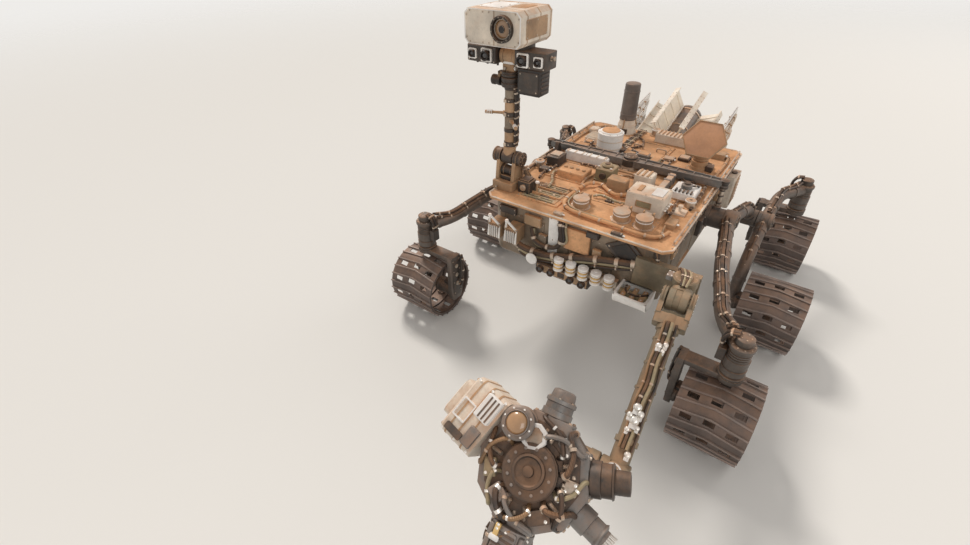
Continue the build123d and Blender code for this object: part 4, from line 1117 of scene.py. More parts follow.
def make_mast_column():
    column = Shape("mast_column_dressed", MAST)
    column.drum((-40, 0, 1315), (40, 0, 1315), 46, "dark", 32)
    column.drum((0, 0, 1316), (0, 0, 1392), 41, "tan", 28, 4)
    # sleeves: columns are foot, top, finish
    sleeves = ((1392, 1424, "dark"), (1424, 1486, "tan"), (1486, 1510, "dark"), (1510, 1584, "blanket"),
               (1584, 1612, "dark"), (1612, 1672, "tan"), (1672, 1694, "dark"), (1694, 1744, "blanket"),
               (1744, 1762, "dark"))
    for low, high, look in sleeves:
        r = 38.5 if look == "dark" else 35.5
        column.lathe(UPRIGHT, ((low, r - 2), (low + 2, r), (high - 2, r), (high, r - 2)), look, 28)
    for z in (1408, 1598, 1683):
        column.bolts(fronting((0, -38, z)), ((-12, 0), (12, 0)), 4)
        column.box((-22, -46, z - 9), (-2, -32, z + 9), "aluminium", 2)
    column.lathe(UPRIGHT,
                 ((1758, 40), (1762, 54), (1766, 58), (1786, 58), (1788, 54), (1796, 54), (1798, 58), (1814, 58),
                  (1818, 54), (1818.5, 20)), "dark", 36)
    column.bolts(underneath((0, 0, 1766)), circle(8, 49), 4)
    column.box((-28, 22, 1388), (28, 62, 1728), "dark", 6)
    for z in range(1410, 1720, 52):
        column.box((-31, 18, z), (31, 65, z + 12), "aluminium", 3)
    for k, (dx, dy, r) in enumerate(((44, 4, 9), (42, 24, 8), (46, -14, 7))):
        column.harness([(dx - 14, dy + 12, 1384), (dx, dy, 1420), (dx + 1, dy, 1500), (dx - 1, dy + 2, 1580),
                        (dx + 1, dy, 1660), (dx - 4, dy, 1738), (dx - 12, dy, 1764)], r,
                       ("black", "cable", "cable")[k], 9)
    # booms: columns are height, reach to the side, reach ahead
    for z, aside, ahead in ((1600, -150, 60), (1560, 120, 120)):
        here, long = axis((0, 0, z), (aside, -ahead, z))
        column.lathe(here,
                     ((34, 14), (44, 14), (46, 9), (long - 52, 8), (long - 50, 11), (long - 4, 11), (long, 9)),
                     "tan", 18)
        column.bolts(here.raised(46), circle(4, 11), 2.5)
        column.pad(Grid(here(0, 0, long - 30), here.z, Vector((0, 0, 1))), rounded(36, 16, 4), 6, 15, "bright")
        for i in range(3):
            column.drum(here(0, 0, long - 44 + 14 * i), here(0, 0, long - 40 + 14 * i), 12, "bright", 18, 1)
    column.dress("mast_metal")


def make_mast_yoke():
    yoke = Shape("mast_yoke_dressed")
    x, y, _ = MAST
    upright = Grid(MAST)
    yoke.lathe(upright,
               ((1822, 53), (1825, 57), (1836, 57), (1838, 53), (1844, 53), (1846, 57), (1850, 57), (1853, 52)),
               "dark", 36)
    yoke.bolts(upright.raised(1852), circle(8, 47), 4)
    yoke.slab(upright, rounded(80, 70, 8), 1851, 1892, "tan")
    yoke.slab(upright, rounded(80, 70, 8), 1892, 1935, "bright", 0.8)
    yoke.lathe(flank((x - 58, y, 1935)),
               ((0, 42), (4, 48), (26, 48), (28, 45), (88, 45), (90, 48), (112, 48), (116, 42)), "tan", 36)
    drum = outboard((x - 66, y, 1786), -1)
    yoke.lathe(drum, ((0, 26), (3, 30), (20, 30), (22, 27), (40, 27), (42, 30), (62, 30), (66, 25), (66.5, 12)),
               "black", 30)
    yoke.bolts(drum.raised(65), circle(6, 20), 3.5)
    yoke.box((x - 84, y - 18, 1790), (x - 68, y + 18, 1842), "tan", 2)
    yoke.box((x - 82, y - 18, 1827), (x - 40, y + 18, 1842), "tan", 2)
    yoke.drum((x + 38, y - 22, 1872), (x + 52, y - 22, 1872), 12, "bright", 18, 2)
    yoke.drum((x - 20, y - 32, 1868), (x - 20, y - 44, 1868), 11, "aluminium", 16, 2)
    for k in range(3):
        yoke.harness([(x - 20 + 18 * k, y + 40, 1856), (x - 26 + 20 * k, y + 56, 1880),
                      (x - 30 + 22 * k, y + 58, 1915), (x - 26 + 20 * k, y + 48, 1940)], 6,
                     ("cable", "black", "amber")[k], 3)
    yoke.dress("mast_metal", 1)


def make_camera_bar():
    bar = Shape("camera_bar_dressed", MAST)
    for s in (1, -1):
        near = s * 64
        bar.box((near, -70, 1890), (near + s * 205, 55, 1983), "dark", 7)
        bar.box((near, -60, 1975), (near + s * 60, 60, 2015), "dark", 4)
        bar.box((near + s * 8, 54, 1902), (near + s * 196, 57, 1971), "aluminium", 2)
        bar.bolts(rearing((near + s * 102, 57, 1936), 1), spread(84, 26, 3, 2), 3.5, "silver")
        # cameras: columns are place along the bar, radius, length
        for along, radius, long in ((60, 32, 35), (160, 24, 25)):
            lens = fronting((near + s * along, -69, 1935))
            outer = rounded(radius * 2.3, radius * 2.3, 7)
            bar.frame(lens, outer, ((1, -2), (1, 12), (0.9, 14), (0.78, 14), (0.76, 4)), "bright", caps=False)
            bar.lathe(lens,
                      ((0, radius * 0.9), (long - 3, radius * 0.9), (long, radius * 0.84),
                       (long + 0.5, radius * 0.62), (long - 8, radius * 0.55)), "black", 30)
            bar.lathe(lens.raised(long - 9), ((0, radius * 0.56), (2, radius * 0.5), (5, radius * 0.3), (6, 2)),
                      "lens", 26)
            bar.bolts(lens.raised(13), spread(radius * 0.98, radius * 0.98), 2.5, "silver")
        bar.lathe(outboard((near + s * 204, -10, 1950), s),
                  ((0, 14), (3, 14), (4, 8), (16, 8), (18, 12), (24, 12), (26, 8)), "aluminium", 18)
        bar.bolts(fronting((near + s * 102, -70, 1900)), ((-90, 0), (0, 0), (90, 0)), 3.5)
        for k in range(3):
            bar.rod((near + s * (18 + 74 * k), -20, 1888), (near + s * (18 + 74 * k), -20, 1874), 7, "dark", 14)
    bar.box((84, -64, 1745), (236, 50, 1891), "black", 9)
    bar.box((96, -68, 1760), (224, -62, 1872), "dark", 3)
    bar.bolts(fronting((160, -68, 1816)), spread(54, 46), 3.5)
    for k in range(5):
        bar.box((234, -50, 1762 + 24 * k), (241, 36, 1772 + 24 * k), "dark", 2)
    bar.box((100, 48, 1764), (220, 53, 1866), "aluminium", 2)
    for k in range(3):
        bar.harness([(100 + 16 * k, 56, 1850), (92 + 14 * k, 70, 1890), (80 + 12 * k, 70, 1940),
                     (74 + 10 * k, 62, 1990)], 6, ("cable", "amber", "black")[k], 3)
    bar.harness([(-80, 62, 1990), (-86, 74, 1960), (-110, 72, 1930), (-150, 60, 1925)], 7, "cable", 3)
    bar.dress("mast_metal")


def make_laser_head():
    head = Shape("laser_head_dressed", MAST)
    face = fronting((0, -195, 2102.5))
    outline = [(-185, -63.5), (-161, -87.5), (161, -87.5), (185, -63.5), (185, 63.5), (161, 87.5), (-161, 87.5),
               (-185, 63.5)]
    head.slab(face, outline, -315, 0, "white")
    head.frame(face, outline, ((0.985, -3), (0.985, 4), (0.95, 4), (0.95, -3)), "bright", loop=True)
    for z in (-60, -190, -300):
        head.frame(face.raised(z), outline, ((0.99, -4), (1.006, -4), (1.006, 4), (0.99, 4)), "tan", loop=True)
    head.bolts(face, [(a * 0.91, b * 0.86) for a, b in outline] + [(-60, 74), (-60, -74), (-20, 74), (-20, -74)], 4)
    head.box((12, -199, 2018), (14.5, -193, 2187), "tan", 1)
    eye = face.moved(70, 2.5)
    head.frame(eye, circle(44, 66), ((1.02, -2), (1.0, 24), (0.94, 27), (0.84, 27), (0.8, 4)), "dark", caps=False)
    head.lathe(eye, ((2, 54), (5, 53), (5.5, 51)), "black", 44)
    head.hoop(eye, 44, ((50, 5), (49, 11), (45, 11), (44, 6)), "aluminium", caps=False)
    head.lathe(eye, ((5, 44), (8, 40), (10, 26), (10.5, 3)), "tan_lens", 40)
    head.lathe(eye, ((9, 19), (14, 18), (15, 12), (13, 8)), "black", 24)
    head.bolts(eye.raised(26), circle(12, 59, 0.2), 3)
    top = Grid((0, -40, 2190))
    for k in range(9):
        head.box((-150 + 36 * k, 119, 2040), (-142 + 36 * k, 128, 2166), "aluminium", 2)
    head.pad(top.moved(-60, 10, -0.5), rounded(150, 190, 10), 0, 4, "bright")
    head.bolts(top.moved(-60, 10, 3.4), spread(64, 84, 2, 3), 3.5)
    head.pad(top.moved(84, 30, -0.5), rounded(96, 130, 8), 0, 4, "tan")
    for s in (1, -1):
        cheek_plate = flank((s * 185, -40, 2102), s)
        head.pad(cheek_plate, rounded(220, 96, 8), -1, 4, "tan")
        head.bolts(cheek_plate.raised(3.5), spread(98, 38, 3, 2), 3.5)
    head.dress("white_paint", 2.2)


# Deck

def pipe_run(shape, points, radius, look, clips=0):
    """A hose over the deck, given as x, y and height over the hatches."""
    shape.harness([(x, y, HATCH + z) for x, y, z in points], radius, look, clips)


def make_deck_fittings():
    gear = Shape("deck_fittings")
    flat = Grid((0, 0, HATCH))
    # bolt rows and raised frames: columns are x, y, width, depth
    for x, y, wide, deep in ((-290, -760, 300, 270), (180, -780, 560, 240), (200, -390, 500, 336),
                             (-300, -370, 360, 300), (20, 300, 300, 320)):
        across, along = max(2, round(wide / 68)), max(2, round(deep / 68))
        spots = [(x - wide / 2 + 11 + (wide - 22) * i / across, y + s * (deep / 2 - 11)) for i in range(across + 1)
                 for s in (-1, 1)]
        spots += [(x + s * (wide / 2 - 11), y - deep / 2 + 11 + (deep - 22) * i / along) for i in range(1, along)
                  for s in (-1, 1)]
        gear.bolts(flat, spots, 4.2)
        if (x, y) != (-290, -760):
            gear.frame(flat.moved(x, y), rounded(wide - 46, deep - 46, 12),
                       ((1, -1), (1, 3), (0.975, 3), (0.975, -1)), "tan", loop=True)
    # a white bead and bolts along the deck's rim
    rim = [(-575, -1000), (575, -1000), (620, -955), (620, 645), (575, 690), (-575, 690), (-620, 645), (-620, -955),
           (-575, -1000)]
    for a, b in zip(rim, rim[1:]):
        gear.rod((a[0] * 0.992, a[1] + (6 if a[1] < 0 else -6), DECK - 1),
                 (b[0] * 0.992, b[1] + (6 if b[1] < 0 else -6), DECK - 1), 6, "white", 8)
    gear.bolts(on_deck(0, 0),
               [(s * 604, -930 + 96 * i) for i in range(17) for s in (-1, 1)]
               + [(-540 + 98 * i, y) for i in range(12) for y in (-984, 674)], 4.5)
    # the open tray: rods and small sensors in each pocket, with bolted bars between
    for k, y in enumerate((-845, -760, -675)):
        gear.rod((-412, y - 16, 1111), (-168, y - 16, 1111), 7, "olive", 12)
        gear.rod((-412, y + 12, 1109), (-168, y + 12, 1109), 8.5, "olive", 12)
        for i in range(5):
            gear.drum((-396 + 52 * i + 9 * k, y - 2, 1100), (-396 + 52 * i + 9 * k, y - 2, 1114 + 3 * (i % 2)), 9,
                      "dark" if (i + k) % 2 else "aluminium", 14, 2)
        for x in (-405, -175):
            gear.box((x - 10, y - 30, 1100), (x + 10, y + 30, 1117), "tan", 3)
        gear.box((-300 + 24 * k, y + 22, 1100), (-236 + 24 * k, y + 32, 1118), "dark", 2)
    for y in (-802, -718):
        gear.box((-415, y - 5, 1112), (-165, y + 5, 1121), "deck_dust", 3)
        gear.bolts(Grid((0, y, 1121)), [(-390 + 66 * i, 0) for i in range(4)], 3.2)
    # hoses and cables: columns are route, radius, finish, clips
    hoses = ((((-128, -600, 8), (-110, -520, 16), (-40, -480, 20), (40, -530, 18), (110, -560, 16),
               (190, -505, 14)), 11, "deck_dust", 5),
             (((-128, -580, 8), (-150, -500, 14), (-150, -420, 16), (-100, -250, 16), (-60, -210, 14),
               (60, -200, 12), (150, -214, 10)), 9, "tan", 6),
             (((-300, -240, 10), (-240, -232, 14), (-170, -240, 14), (-120, -262, 12)), 8, "cable", 4),
             (((-440, -600, 4), (-455, -500, 10), (-430, -420, 12), (-440, -340, 12)), 8, "cable", 4),
             (((-310, -704, 8), (-330, -610, 12), (-360, -560, 14), (-390, -480, 14), (-370, -440, 14)), 9, "olive",
              4),
             (((-10, -640, 6), (30, -618, 14), (90, -628, 16), (150, -642, 14), (214, -630, 12)), 8, "olive", 4),
             (((0, -480, 6), (20, -470, 12), (24, -380, 16), (20, -300, 14), (60, -246, 12), (140, -238, 10)), 7,
              "amber", 5), (((140, -452, 8), (190, -440, 14), (240, -420, 14), (262, -372, 12)), 7, "cable", 3),
             (((450, -560, 4), (492, -640, 8), (500, -760, 8), (520, -900, 6)), 7, "amber", 4),
             (((548, -90, 4), (560, -240, 8), (562, -380, 8), (560, -470, 6)), 9, "cable", 5),
             (((-128, -620, 10), (-132, -720, 16), (-116, -840, 14), (-40, -898, 14), (110, -912, 14),
               (260, -914, 12), (400, -922, 10), (500, -890, 6), (540, -800, 4)), 11, "deck_dust", 8),
             (((-116, -630, 8), (-112, -730, 14), (-96, -820, 14), (-30, -876, 16), (120, -892, 14),
               (240, -892, 10)), 6, "olive", 5),
             (((-560, -90, 4), (-572, -240, 8), (-574, -400, 8), (-570, -560, 8), (-556, -700, 6)), 9, "cable", 6),
             (((-180, 200, -2), (-120, 240, 8), (-60, 330, 10), (-90, 450, 8), (-200, 540, 2)), 8, "cable", 6),
             (((240, 520, 0), (330, 440, 2), (420, 330, 2), (430, 240, 0)), 8, "cable", 5),
             (((200, 600, -2), (380, 612, 0), (520, 560, 0), (560, 420, 0), (560, 200, 0), (548, 20, 0)), 10, "tan",
              8), (((-420, 640, -2), (-520, 560, 0), (-560, 380, 0), (-560, 180, 0), (-556, 10, 0)), 10, "tan", 8))
    for route, r, look, clips in hoses:
        pipe_run(gear, route, r, look, clips)
    # small junction boxes: columns are x, y, width, depth, height, finish
    boxes = ((-150, -640, 60, 40, 26, "tan"), (-470, -470, 70, 60, 34, "dark"), (100, -640, 44, 34, 18, "dark"),
             (420, -470, 46, 60, 24, "tan"), (-440, 60, 90, 130, 34, "tan"), (480, 470, 110, 80, 40, "tan"),
             (200, 210, 70, 60, 26, "aluminium"), (-520, 460, 70, 90, 30, "white"), (300, -980, 70, 26, 20, "dark"),
             (-90, -960, 60, 30, 18, "aluminium"), (520, -700, 60, 90, 30, "tan"))
    for x, y, wide, deep, high, look in boxes:
        gear.crate(x, y, wide, deep, -1, high, look)
        gear.bolts(on_deck(x, y, high), spread(wide / 2 - 9, deep / 2 - 9), 3.4)
        z = DECK + high / 2
        gear.drum((x + wide / 2 - 2, y, z), (x + wide / 2 + 14, y, z), high * 0.28, "silver", 14, 2)
    # a coil of cable and a domed cover ahead of the bar
    for k in range(3):
        ring = [(430 + (52 - 9 * k) * math.cos(math.tau * i / 24), -90 + (40 - 7 * k) * math.sin(math.tau * i / 24),
                 HATCH + 9 * k) for i in range(25)]
        gear.tube(ring, 6, "cable", 8)
    gear.slab(flank((-530, -175, 1100)), [(-52, 4), (52, 4), (46, 16), (10, 112), (-8, 118), (-18, 108)], -14, 14,
              "black")
    gear.box((-600, -235, DECK - 1), (-470, -118, 1122), "dark", 4)
    # small units between the bar and the hatch: columns are x, y, width, depth, height, finish
    units = ((-60, 84, 92, 70, 46, "dark"), (44, 92, 86, 64, 60, "grey"), (136, 84, 70, 84, 38, "olive"),
             (-96, 168, 52, 60, 34, "black"), (212, 96, 54, 70, 24, "dark"), (250, -6, 90, 40, 26, "grey"),
             (-420, 140, 60, 60, 40, "dark"), (-370, 440, 90, 70, 36, "grey"))
    for x, y, wide, deep, high, look in units:
        gear.crate(x, y, wide, deep, -1, high, look)
        gear.crate(x, y, wide - 16, deep - 16, high - 2, high + 4, "tan", 2)
        gear.bolts(on_deck(x, y, high), spread(wide / 2 - 4, deep / 2 - 4), 3, "silver")
        z = DECK + high / 2
        gear.drum((x - wide / 2 + 3, y, z), (x - wide / 2 - 14, y, z), high * 0.26, "silver", 14, 2)
    # leads between them: columns are route, radius, finish
    leads = ((((-20, 70, 12), (10, 130, 20), (-40, 180, 16), (-110, 210, 10), (-170, 250, 4)), 8, "black"),
             (((80, 110, 20), (120, 140, 16), (200, 150, 10), (230, 190, 6), (236, 246, 8)), 7, "cable"),
             (((-96, 198, 8), (-120, 230, 10), (-160, 262, 6)), 9, "cable"),
             (((170, 60, 14), (200, 40, 18), (240, 10, 14)), 7, "black"),
             (((-360, 150, 6), (-390, 110, 10), (-420, 100, 8), (-450, 60, 4)), 7, "black"))
    for route, r, look in leads:
        pipe_run(gear, route, r, look, 4)
    # aft deck: a cable tray, handles on the hatch, a ribbed cover and a sensor drum
    gear.box((-206, 262, DECK - 1), (-138, 684, 1111), "tan", 2)
    for i, look in enumerate(("cable", "black", "olive", "cable")):
        gear.tube([(-195 + 15 * i, 266, 1117), (-196 + 16 * i, 420, 1118), (-194 + 15 * i, 560, 1117),
                   (-195 + 15 * i, 680, 1117)], 6, look, 8)
    for y in (300, 384, 468, 552, 636):
        gear.box((-209, y - 6, 1108), (-135, y + 6, 1126), "aluminium", 2)
    for x in (-70, 110):
        gear.tube(eased([(x - 36, 300, 1110), (x - 36, 300, 1140), (x + 36, 300, 1140), (x + 36, 300, 1110)], 14),
                  5, "aluminium", 10)
    gear.box((-495, 215, DECK - 1), (-385, 365, 1142), "white", 5)
    for i in range(7):
        gear.box((-488, 226 + 20 * i, 1140), (-392, 231 + 20 * i, 1150), "white", 1.5)
    gear.bolts(on_deck(-440, 290), spread(61, 66, 2, 3), 4.5)
    gear.lathe(on_deck(300, 400), ((0, 40), (5, 40), (6, 30), (24, 30), (26, 33), (32, 33), (34, 26), (34.5, 10)),
               "olive", 28)
    gear.lathe(Grid((300, 400, 1138)), ((0, 16), (4, 15), (7, 8), (8, 2)), "lens", 20)
    gear.box((250, 250, DECK - 1), (330, 330, 1126), "dark", 4)
    gear.box((258, 258, 1124), (322, 322, 1131), "aluminium", 2)
    # hand rails along the deck's sides, on short posts
    for s in (-1, 1):
        for low, high in ((-900, -500), (-330, -120), (60, 620)):
            gear.rod((s * 600, low, 1128), (s * 600, high, 1128), 6, "aluminium", 12)
            count = max(2, round((high - low) / 130))
            for i in range(count + 1):
                y = low + 8 + (high - low - 16) * i / count
                gear.rod((s * 600, y, DECK - 2), (s * 600, y, 1130), 5, "tan", 10)
                gear.drum((s * 600, y, DECK - 1), (s * 600, y, 1109), 10, "aluminium", 12, 1)
    gear.ride("chassis", "deck_paint")


def make_deck_boxes():
    boxes = Shape("deck_boxes_dressed")
    # columns are x, y, width, depth, foot and top over the deck, finish
    table = ((330, -600, 230, 170, 8, 135, "white"), (470, -290, 150, 170, 8, 60, "bright"),
             (200, -300, 120, 110, 8, 95, "white"), (70, -440, 130, 90, 8, 80, "tan"),
             (-60, -330, 120, 130, 8, 90, "olive"), (-260, -420, 200, 150, 8, 55, "deck_dust"),
             (-290, -170, 340, 46, 0, 70, "bright"), (-470, -300, 100, 130, 8, 75, "dark"),
             (130, 560, 300, 110, 0, 70, "white"))
    for x, y, wide, deep, low, high, look in table:
        here = on_deck(x, y)
        boxes.slab(here, rounded(wide, deep, 11), low, high - 12, look)
        boxes.slab(here, rounded(wide - 5, deep - 5, 10), high - 13, high - 10, "dark")
        boxes.pad(here, rounded(wide, deep, 11), high - 11, high, look, 5)
        spots = spread(wide / 2 - 13, deep / 2 - 13)
        if wide > 180:
            spots += [(0, j * (deep / 2 - 13)) for j in (-1, 1)]
        boxes.bolts(here.raised(high), spots, 4.2)
        boxes.slab(here, rounded(wide + 14, deep + 14, 12), low - 1, low + 5,
                   "tan" if look in ("white", "bright") else look)
    # the big box: a window, two strips on its lid, plugs and a cable
    front = fronting((330, -685, 1180))
    boxes.frame(front, rounded(96, 42, 5), ((1, -1), (1, 5), (0.88, 5), (0.86, 0)), "tan", caps=False)
    boxes.slab(front, rounded(84, 34, 3), -1, 1.5, "olive")
    boxes.box((262, -640, 1238), (290, -560, 1246), "tan", 3)
    boxes.box((356, -652, 1239), (424, -548, 1245), "bright", 3)
    for i in range(4):
        boxes.drum((446, -650 + 32 * i, 1160), (462, -650 + 32 * i, 1160), 10, "silver", 14, 2)
    boxes.harness([(460, -648, 1160), (482, -630, 1140), (480, -560, 1124), (470, -500, 1122), (462, -400, 1124)],
                  7, "cable", 4)
    # a round grey unit on the bright box, with ribs and a cable
    boxes.drum((470, -290, 1162), (470, -290, 1196), 34, "grey", 28, 5)
    boxes.drum((470, -290, 1194), (470, -290, 1206), 20, "dark", 24, 3)
    for i in range(5):
        boxes.box((418 + 24 * i, -372, 1163), (428 + 24 * i, -332, 1176), "dark", 2)
    boxes.harness([(500, -270, 1180), (530, -240, 1172), (528, -190, 1140), (500, -160, 1122)], 6, "black", 3)
    # knobs and a dome on the olive unit
    boxes.drum((-60, -330, 1194), (-60, -330, 1214), 38, "olive", 28, 8)
    boxes.drum((-60, -330, 1212), (-60, -330, 1220), 18, "dark", 20, 3)
    boxes.drum((-60, -392, 1150), (-60, -408, 1150), 24, "dark", 24, 3)
    for i in (-1, 1):
        boxes.drum((-60 + i * 44, -376, 1194), (-60 + i * 44, -376, 1208), 9, "silver", 14, 2)
    # fins, ribs, knobs and a plate on the other boxes
    for i in range(9):
        boxes.box((2 + 30 * i, 512, 1172), (8 + 30 * i, 608, 1184), "tan", 2)
    for i in range(6):
        boxes.box((-440 + 58 * i, -196, 1172), (-430 + 58 * i, -144, 1179), "white", 2)
    for i in range(3):
        boxes.box((152 + 34 * i, -350, 1199), (166 + 34 * i, -250, 1206), "tan", 2)
    for i in range(4):
        boxes.drum((-330 + 46 * i, -420, 1158), (-330 + 46 * i, -420, 1170), 13, "tan", 18, 3)
    boxes.box((-506, -340, 1178), (-434, -262, 1188), "aluminium", 3)
    # the square duct, with its stem and clamps
    duct = Grid((332.5, -315, 0))
    boxes.slab(duct, rounded(45, 380, 4), HATCH, 1160, "grey")
    boxes.slab(duct, rounded(38, 380, 4), 1158, 1167, "aluminium")
    for y in (-480, -400, -240, -160):
        boxes.box((306, y - 9, 1112), (359, y + 9, 1171), "grey", 2)
    boxes.dress("white_paint")


def make_inlets():
    inlets = Shape("inlet_trims")
    for x, y in ((390, -810), (250, -810), (-20, -800)):
        here = Grid((x, y, HATCH))
        inlets.lathe(here, ((-1, 62), (4, 62), (6, 58), (6.5, 49)), "aluminium", 32)
        inlets.bolts(here.raised(5), circle(8, 55.5, 0.2), 3, "silver")
        inlets.hoop(here, 32, ((48.4, 38), (49.5, 40), (49.5, 44), (48.4, 46)), "bright", caps=False)
    inlets.ride("chassis", "deck_paint")


def make_differential():
    bar = Shape("differential_dressed")
    spine = Grid((0, -60, 1150))
    outline = [(-640, -26), (0, -48), (640, -26), (640, 26), (0, 48), (-640, 26)]
    bar.slab(spine, [(x, y * 0.96) for x, y in outline], -25, 16, "grey")
    for a, b in ((outline[0], outline[1]), (outline[1], outline[2]), (outline[3], outline[4]),
                 (outline[4], outline[5])):
        start, end = Vector((a[0], a[1], 0)), Vector((b[0], b[1], 0))
        inward = Vector((0, -1 if a[1] + b[1] > 0 else 1, 0)) * 9
        bar.slab(spine, [tuple(v[:2]) for v in (start, end, end + inward, start + inward)], 12, 25, "grey")
    for s in (-1, 1):
        for i in range(5):
            x = s * (110 + 112 * i)
            w = 46 - 20 * abs(x) / 640
            bar.box((x - 4, -60 - w, 1165), (x + 4, -60 + w, 1174), "grey", 1.5)
        bar.bolts(spine.raised(16), [(s * (166 + 112 * i), 0) for i in range(4)], 6)
        end = Grid((s * 650, -60, 1120))
        bar.lathe(end,
                  ((0, 24), (3, 30), (20, 30), (22, 27), (40, 27), (42, 30), (57, 30), (60, 25), (60.5, 14),
                   (62, 10)), "dark", 28)
        bar.rod((s * 650, -60, 1130), (s * 650, -60, 992), 14, "aluminium", 20)
        for z in (1010, 1060, 1100):
            bar.drum((s * 650, -60, z), (s * 650, -60, z + 12), 19, "dark", 24, 2)
    bar.lathe(spine, ((-25, 60), (25, 60), (27, 50), (41, 50), (45, 45), (45.5, 18), (50, 15)), "dark", 40)
    bar.bolts(spine.raised(45), circle(8, 36), 5)
    bar.ride("chassis", "bare_aluminium", ("differential_bar",), bevel=1.2)
    post = Shape("differential_post_dressed")
    post.lathe(on_deck(0, -60), ((0, 82), (6, 82), (8, 66), (18, 64), (20, 66), (21, 62)), "aluminium", 36)
    post.bolts(Grid((0, -60, 1111)), circle(10, 74), 4.5, "dark")
    post.dress("bare_aluminium")


# Antennas and generator

ANTENNA = (420, 180)


def make_antenna_base():
    x, y = ANTENNA
    base = Shape("antenna_base_dressed")
    spot = on_deck(x, y)
    base.lathe(spot,
               ((0, 84), (7, 84), (9, 60), (30, 57), (32, 54), (46, 54), (48, 57), (70, 57), (73, 52), (73.5, 14),
                (78, 13.5)), "tan", 36)
    base.bolts(spot.raised(7), circle(8, 73), 5)
    base.box((x + 50, y - 30, 1112), (x + 100, y + 30, 1150), "dark", 4)
    base.harness([(x + 80, y + 30, 1130), (x + 80, y + 82, 1124), (x + 20, y + 120, 1119), (x - 90, y + 120, 1119)],
                 7, "cable", 4)
    base.dress("bare_aluminium")


def make_antenna_fork():
    x, y = ANTENNA
    fork = Shape("antenna_fork_dressed")
    turn = Grid((x, y, 1182))
    fork.lathe(turn, ((0, 48), (3, 52), (12, 52), (14, 49), (20, 49), (22, 52), (27, 52), (30, 47)), "tan", 36)
    fork.bolts(turn.raised(29), circle(8, 41), 3.5)
    for s in (1, -1):
        wall = flank((x + s * 44, y, 0), s)
        fork.slab(wall, [(-26, 1205), (26, 1205), (26, 1294), (14, 1314), (-14, 1314), (-26, 1294)], -7, 7, "tan")
        fork.lathe(wall.moved(0, 1290, 7), ((0, 20), (7, 20), (9, 15), (9.5, 6)), "dark", 24)
        fork.bolts(wall.moved(0, 1228, 7), ((-14, 0), (14, 0)), 3.5)
    fork.dress("bare_aluminium")


def make_antenna_dish():
    x, y = ANTENNA
    dish = Shape("antenna_dish_dressed")
    plane = Grid((x, y, 1290), (1, 0, 0), (0, -1, 1))
    dish.drum((x - 32, y, 1290), (x + 32, y, 1290), 14, "dark", 20, 2)
    dish.slab(plane, rounded(44, 44, 8), 0, 62, "dark")
    six = circle(6, 150)
    dish.slab(plane, [(x * 0.97, y * 0.97) for x, y in six], 60, 74, "tan")
    dish.frame(plane, six, ((0.985, 60), (1, 64), (1, 79), (0.985, 82), (0.945, 82), (0.935, 78)), "tan",
               caps=False)
    dish.slab(plane, [(x * 0.94, y * 0.94) for x, y in six], 72, 78.5, "rust")
    for i in range(6):
        brace = plane.turned(60 * i + 30)
        dish.slab(brace.moved(70, 0), ((-40, -3), (40, -3), (40, 3), (-40, 3)), 53, 61, "aluminium")
        dish.bolts(brace.moved(116, 0, 60).back(), ((0, 0),), 4, "silver")
    dish.pad(plane.moved(0, 20), rounded(30, 30, 4), 20, 60, "dark")
    dish.dress("antenna_skin", 0.8)


def make_relay_antenna():
    relay = Shape("relay_antenna_dressed")
    spot = on_deck(-300, 600)
    relay.lathe(spot, ((0, 86), (6, 86), (8, 82), (60, 70), (62, 73), (70, 72), (72, 68), (108, 62), (112, 60)),
                "white", 36)
    relay.bolts(spot.raised(6), circle(8, 79), 3.6)
    relay.lathe(spot,
                ((112, 66), (116, 67), (122, 67), (124, 65), (150, 65), (152, 67), (158, 67), (160, 64.5),
                 (330, 62), (332, 64), (340, 64), (342, 61.5), (388, 60.5), (394, 58), (397, 52), (397.5, 12)),
                "radome", 44)
    for i in range(3):
        a = math.tau * i / 3 + 0.5
        relay.rod(spot(74 * math.cos(a), 74 * math.sin(a), 4), spot(66 * math.cos(a), 66 * math.sin(a), 118), 6,
                  "tan", 10)
    relay.box((-336, 520, 1108), (-264, 548, 1150), "dark", 4)
    relay.dress("relay_grey")


def make_low_gain_antenna():
    low = Shape("low_gain_antenna_dressed")
    spot = on_deck(-250, 140)
    low.lathe(spot,
              ((0, 102), (5, 102), (7, 97), (12, 96), (140, 96), (142, 98), (150, 98), (153, 93), (153.5, 82),
               (156, 80), (160, 79), (162, 74), (162.5, 20)), "bright", 48)
    low.bolts(spot.raised(152), circle(10, 88), 4)
    low.lathe(spot, ((161, 70), (166, 66), (168, 40), (169, 8)), "deck_dust", 40)
    for z in (40, 96):
        low.band(spot.raised(z), 95.5, 8, "white", 1.6, 48)
    low.box((-150, 110, 1106), (-120, 170, 1146), "dark", 4)
    low.dress("white_paint")


TILT = math.radians(15)
CORE = Grid((0, 760, 900), (1, 0, 0), (0, math.cos(TILT), math.sin(TILT)))  # the generator's foot and run


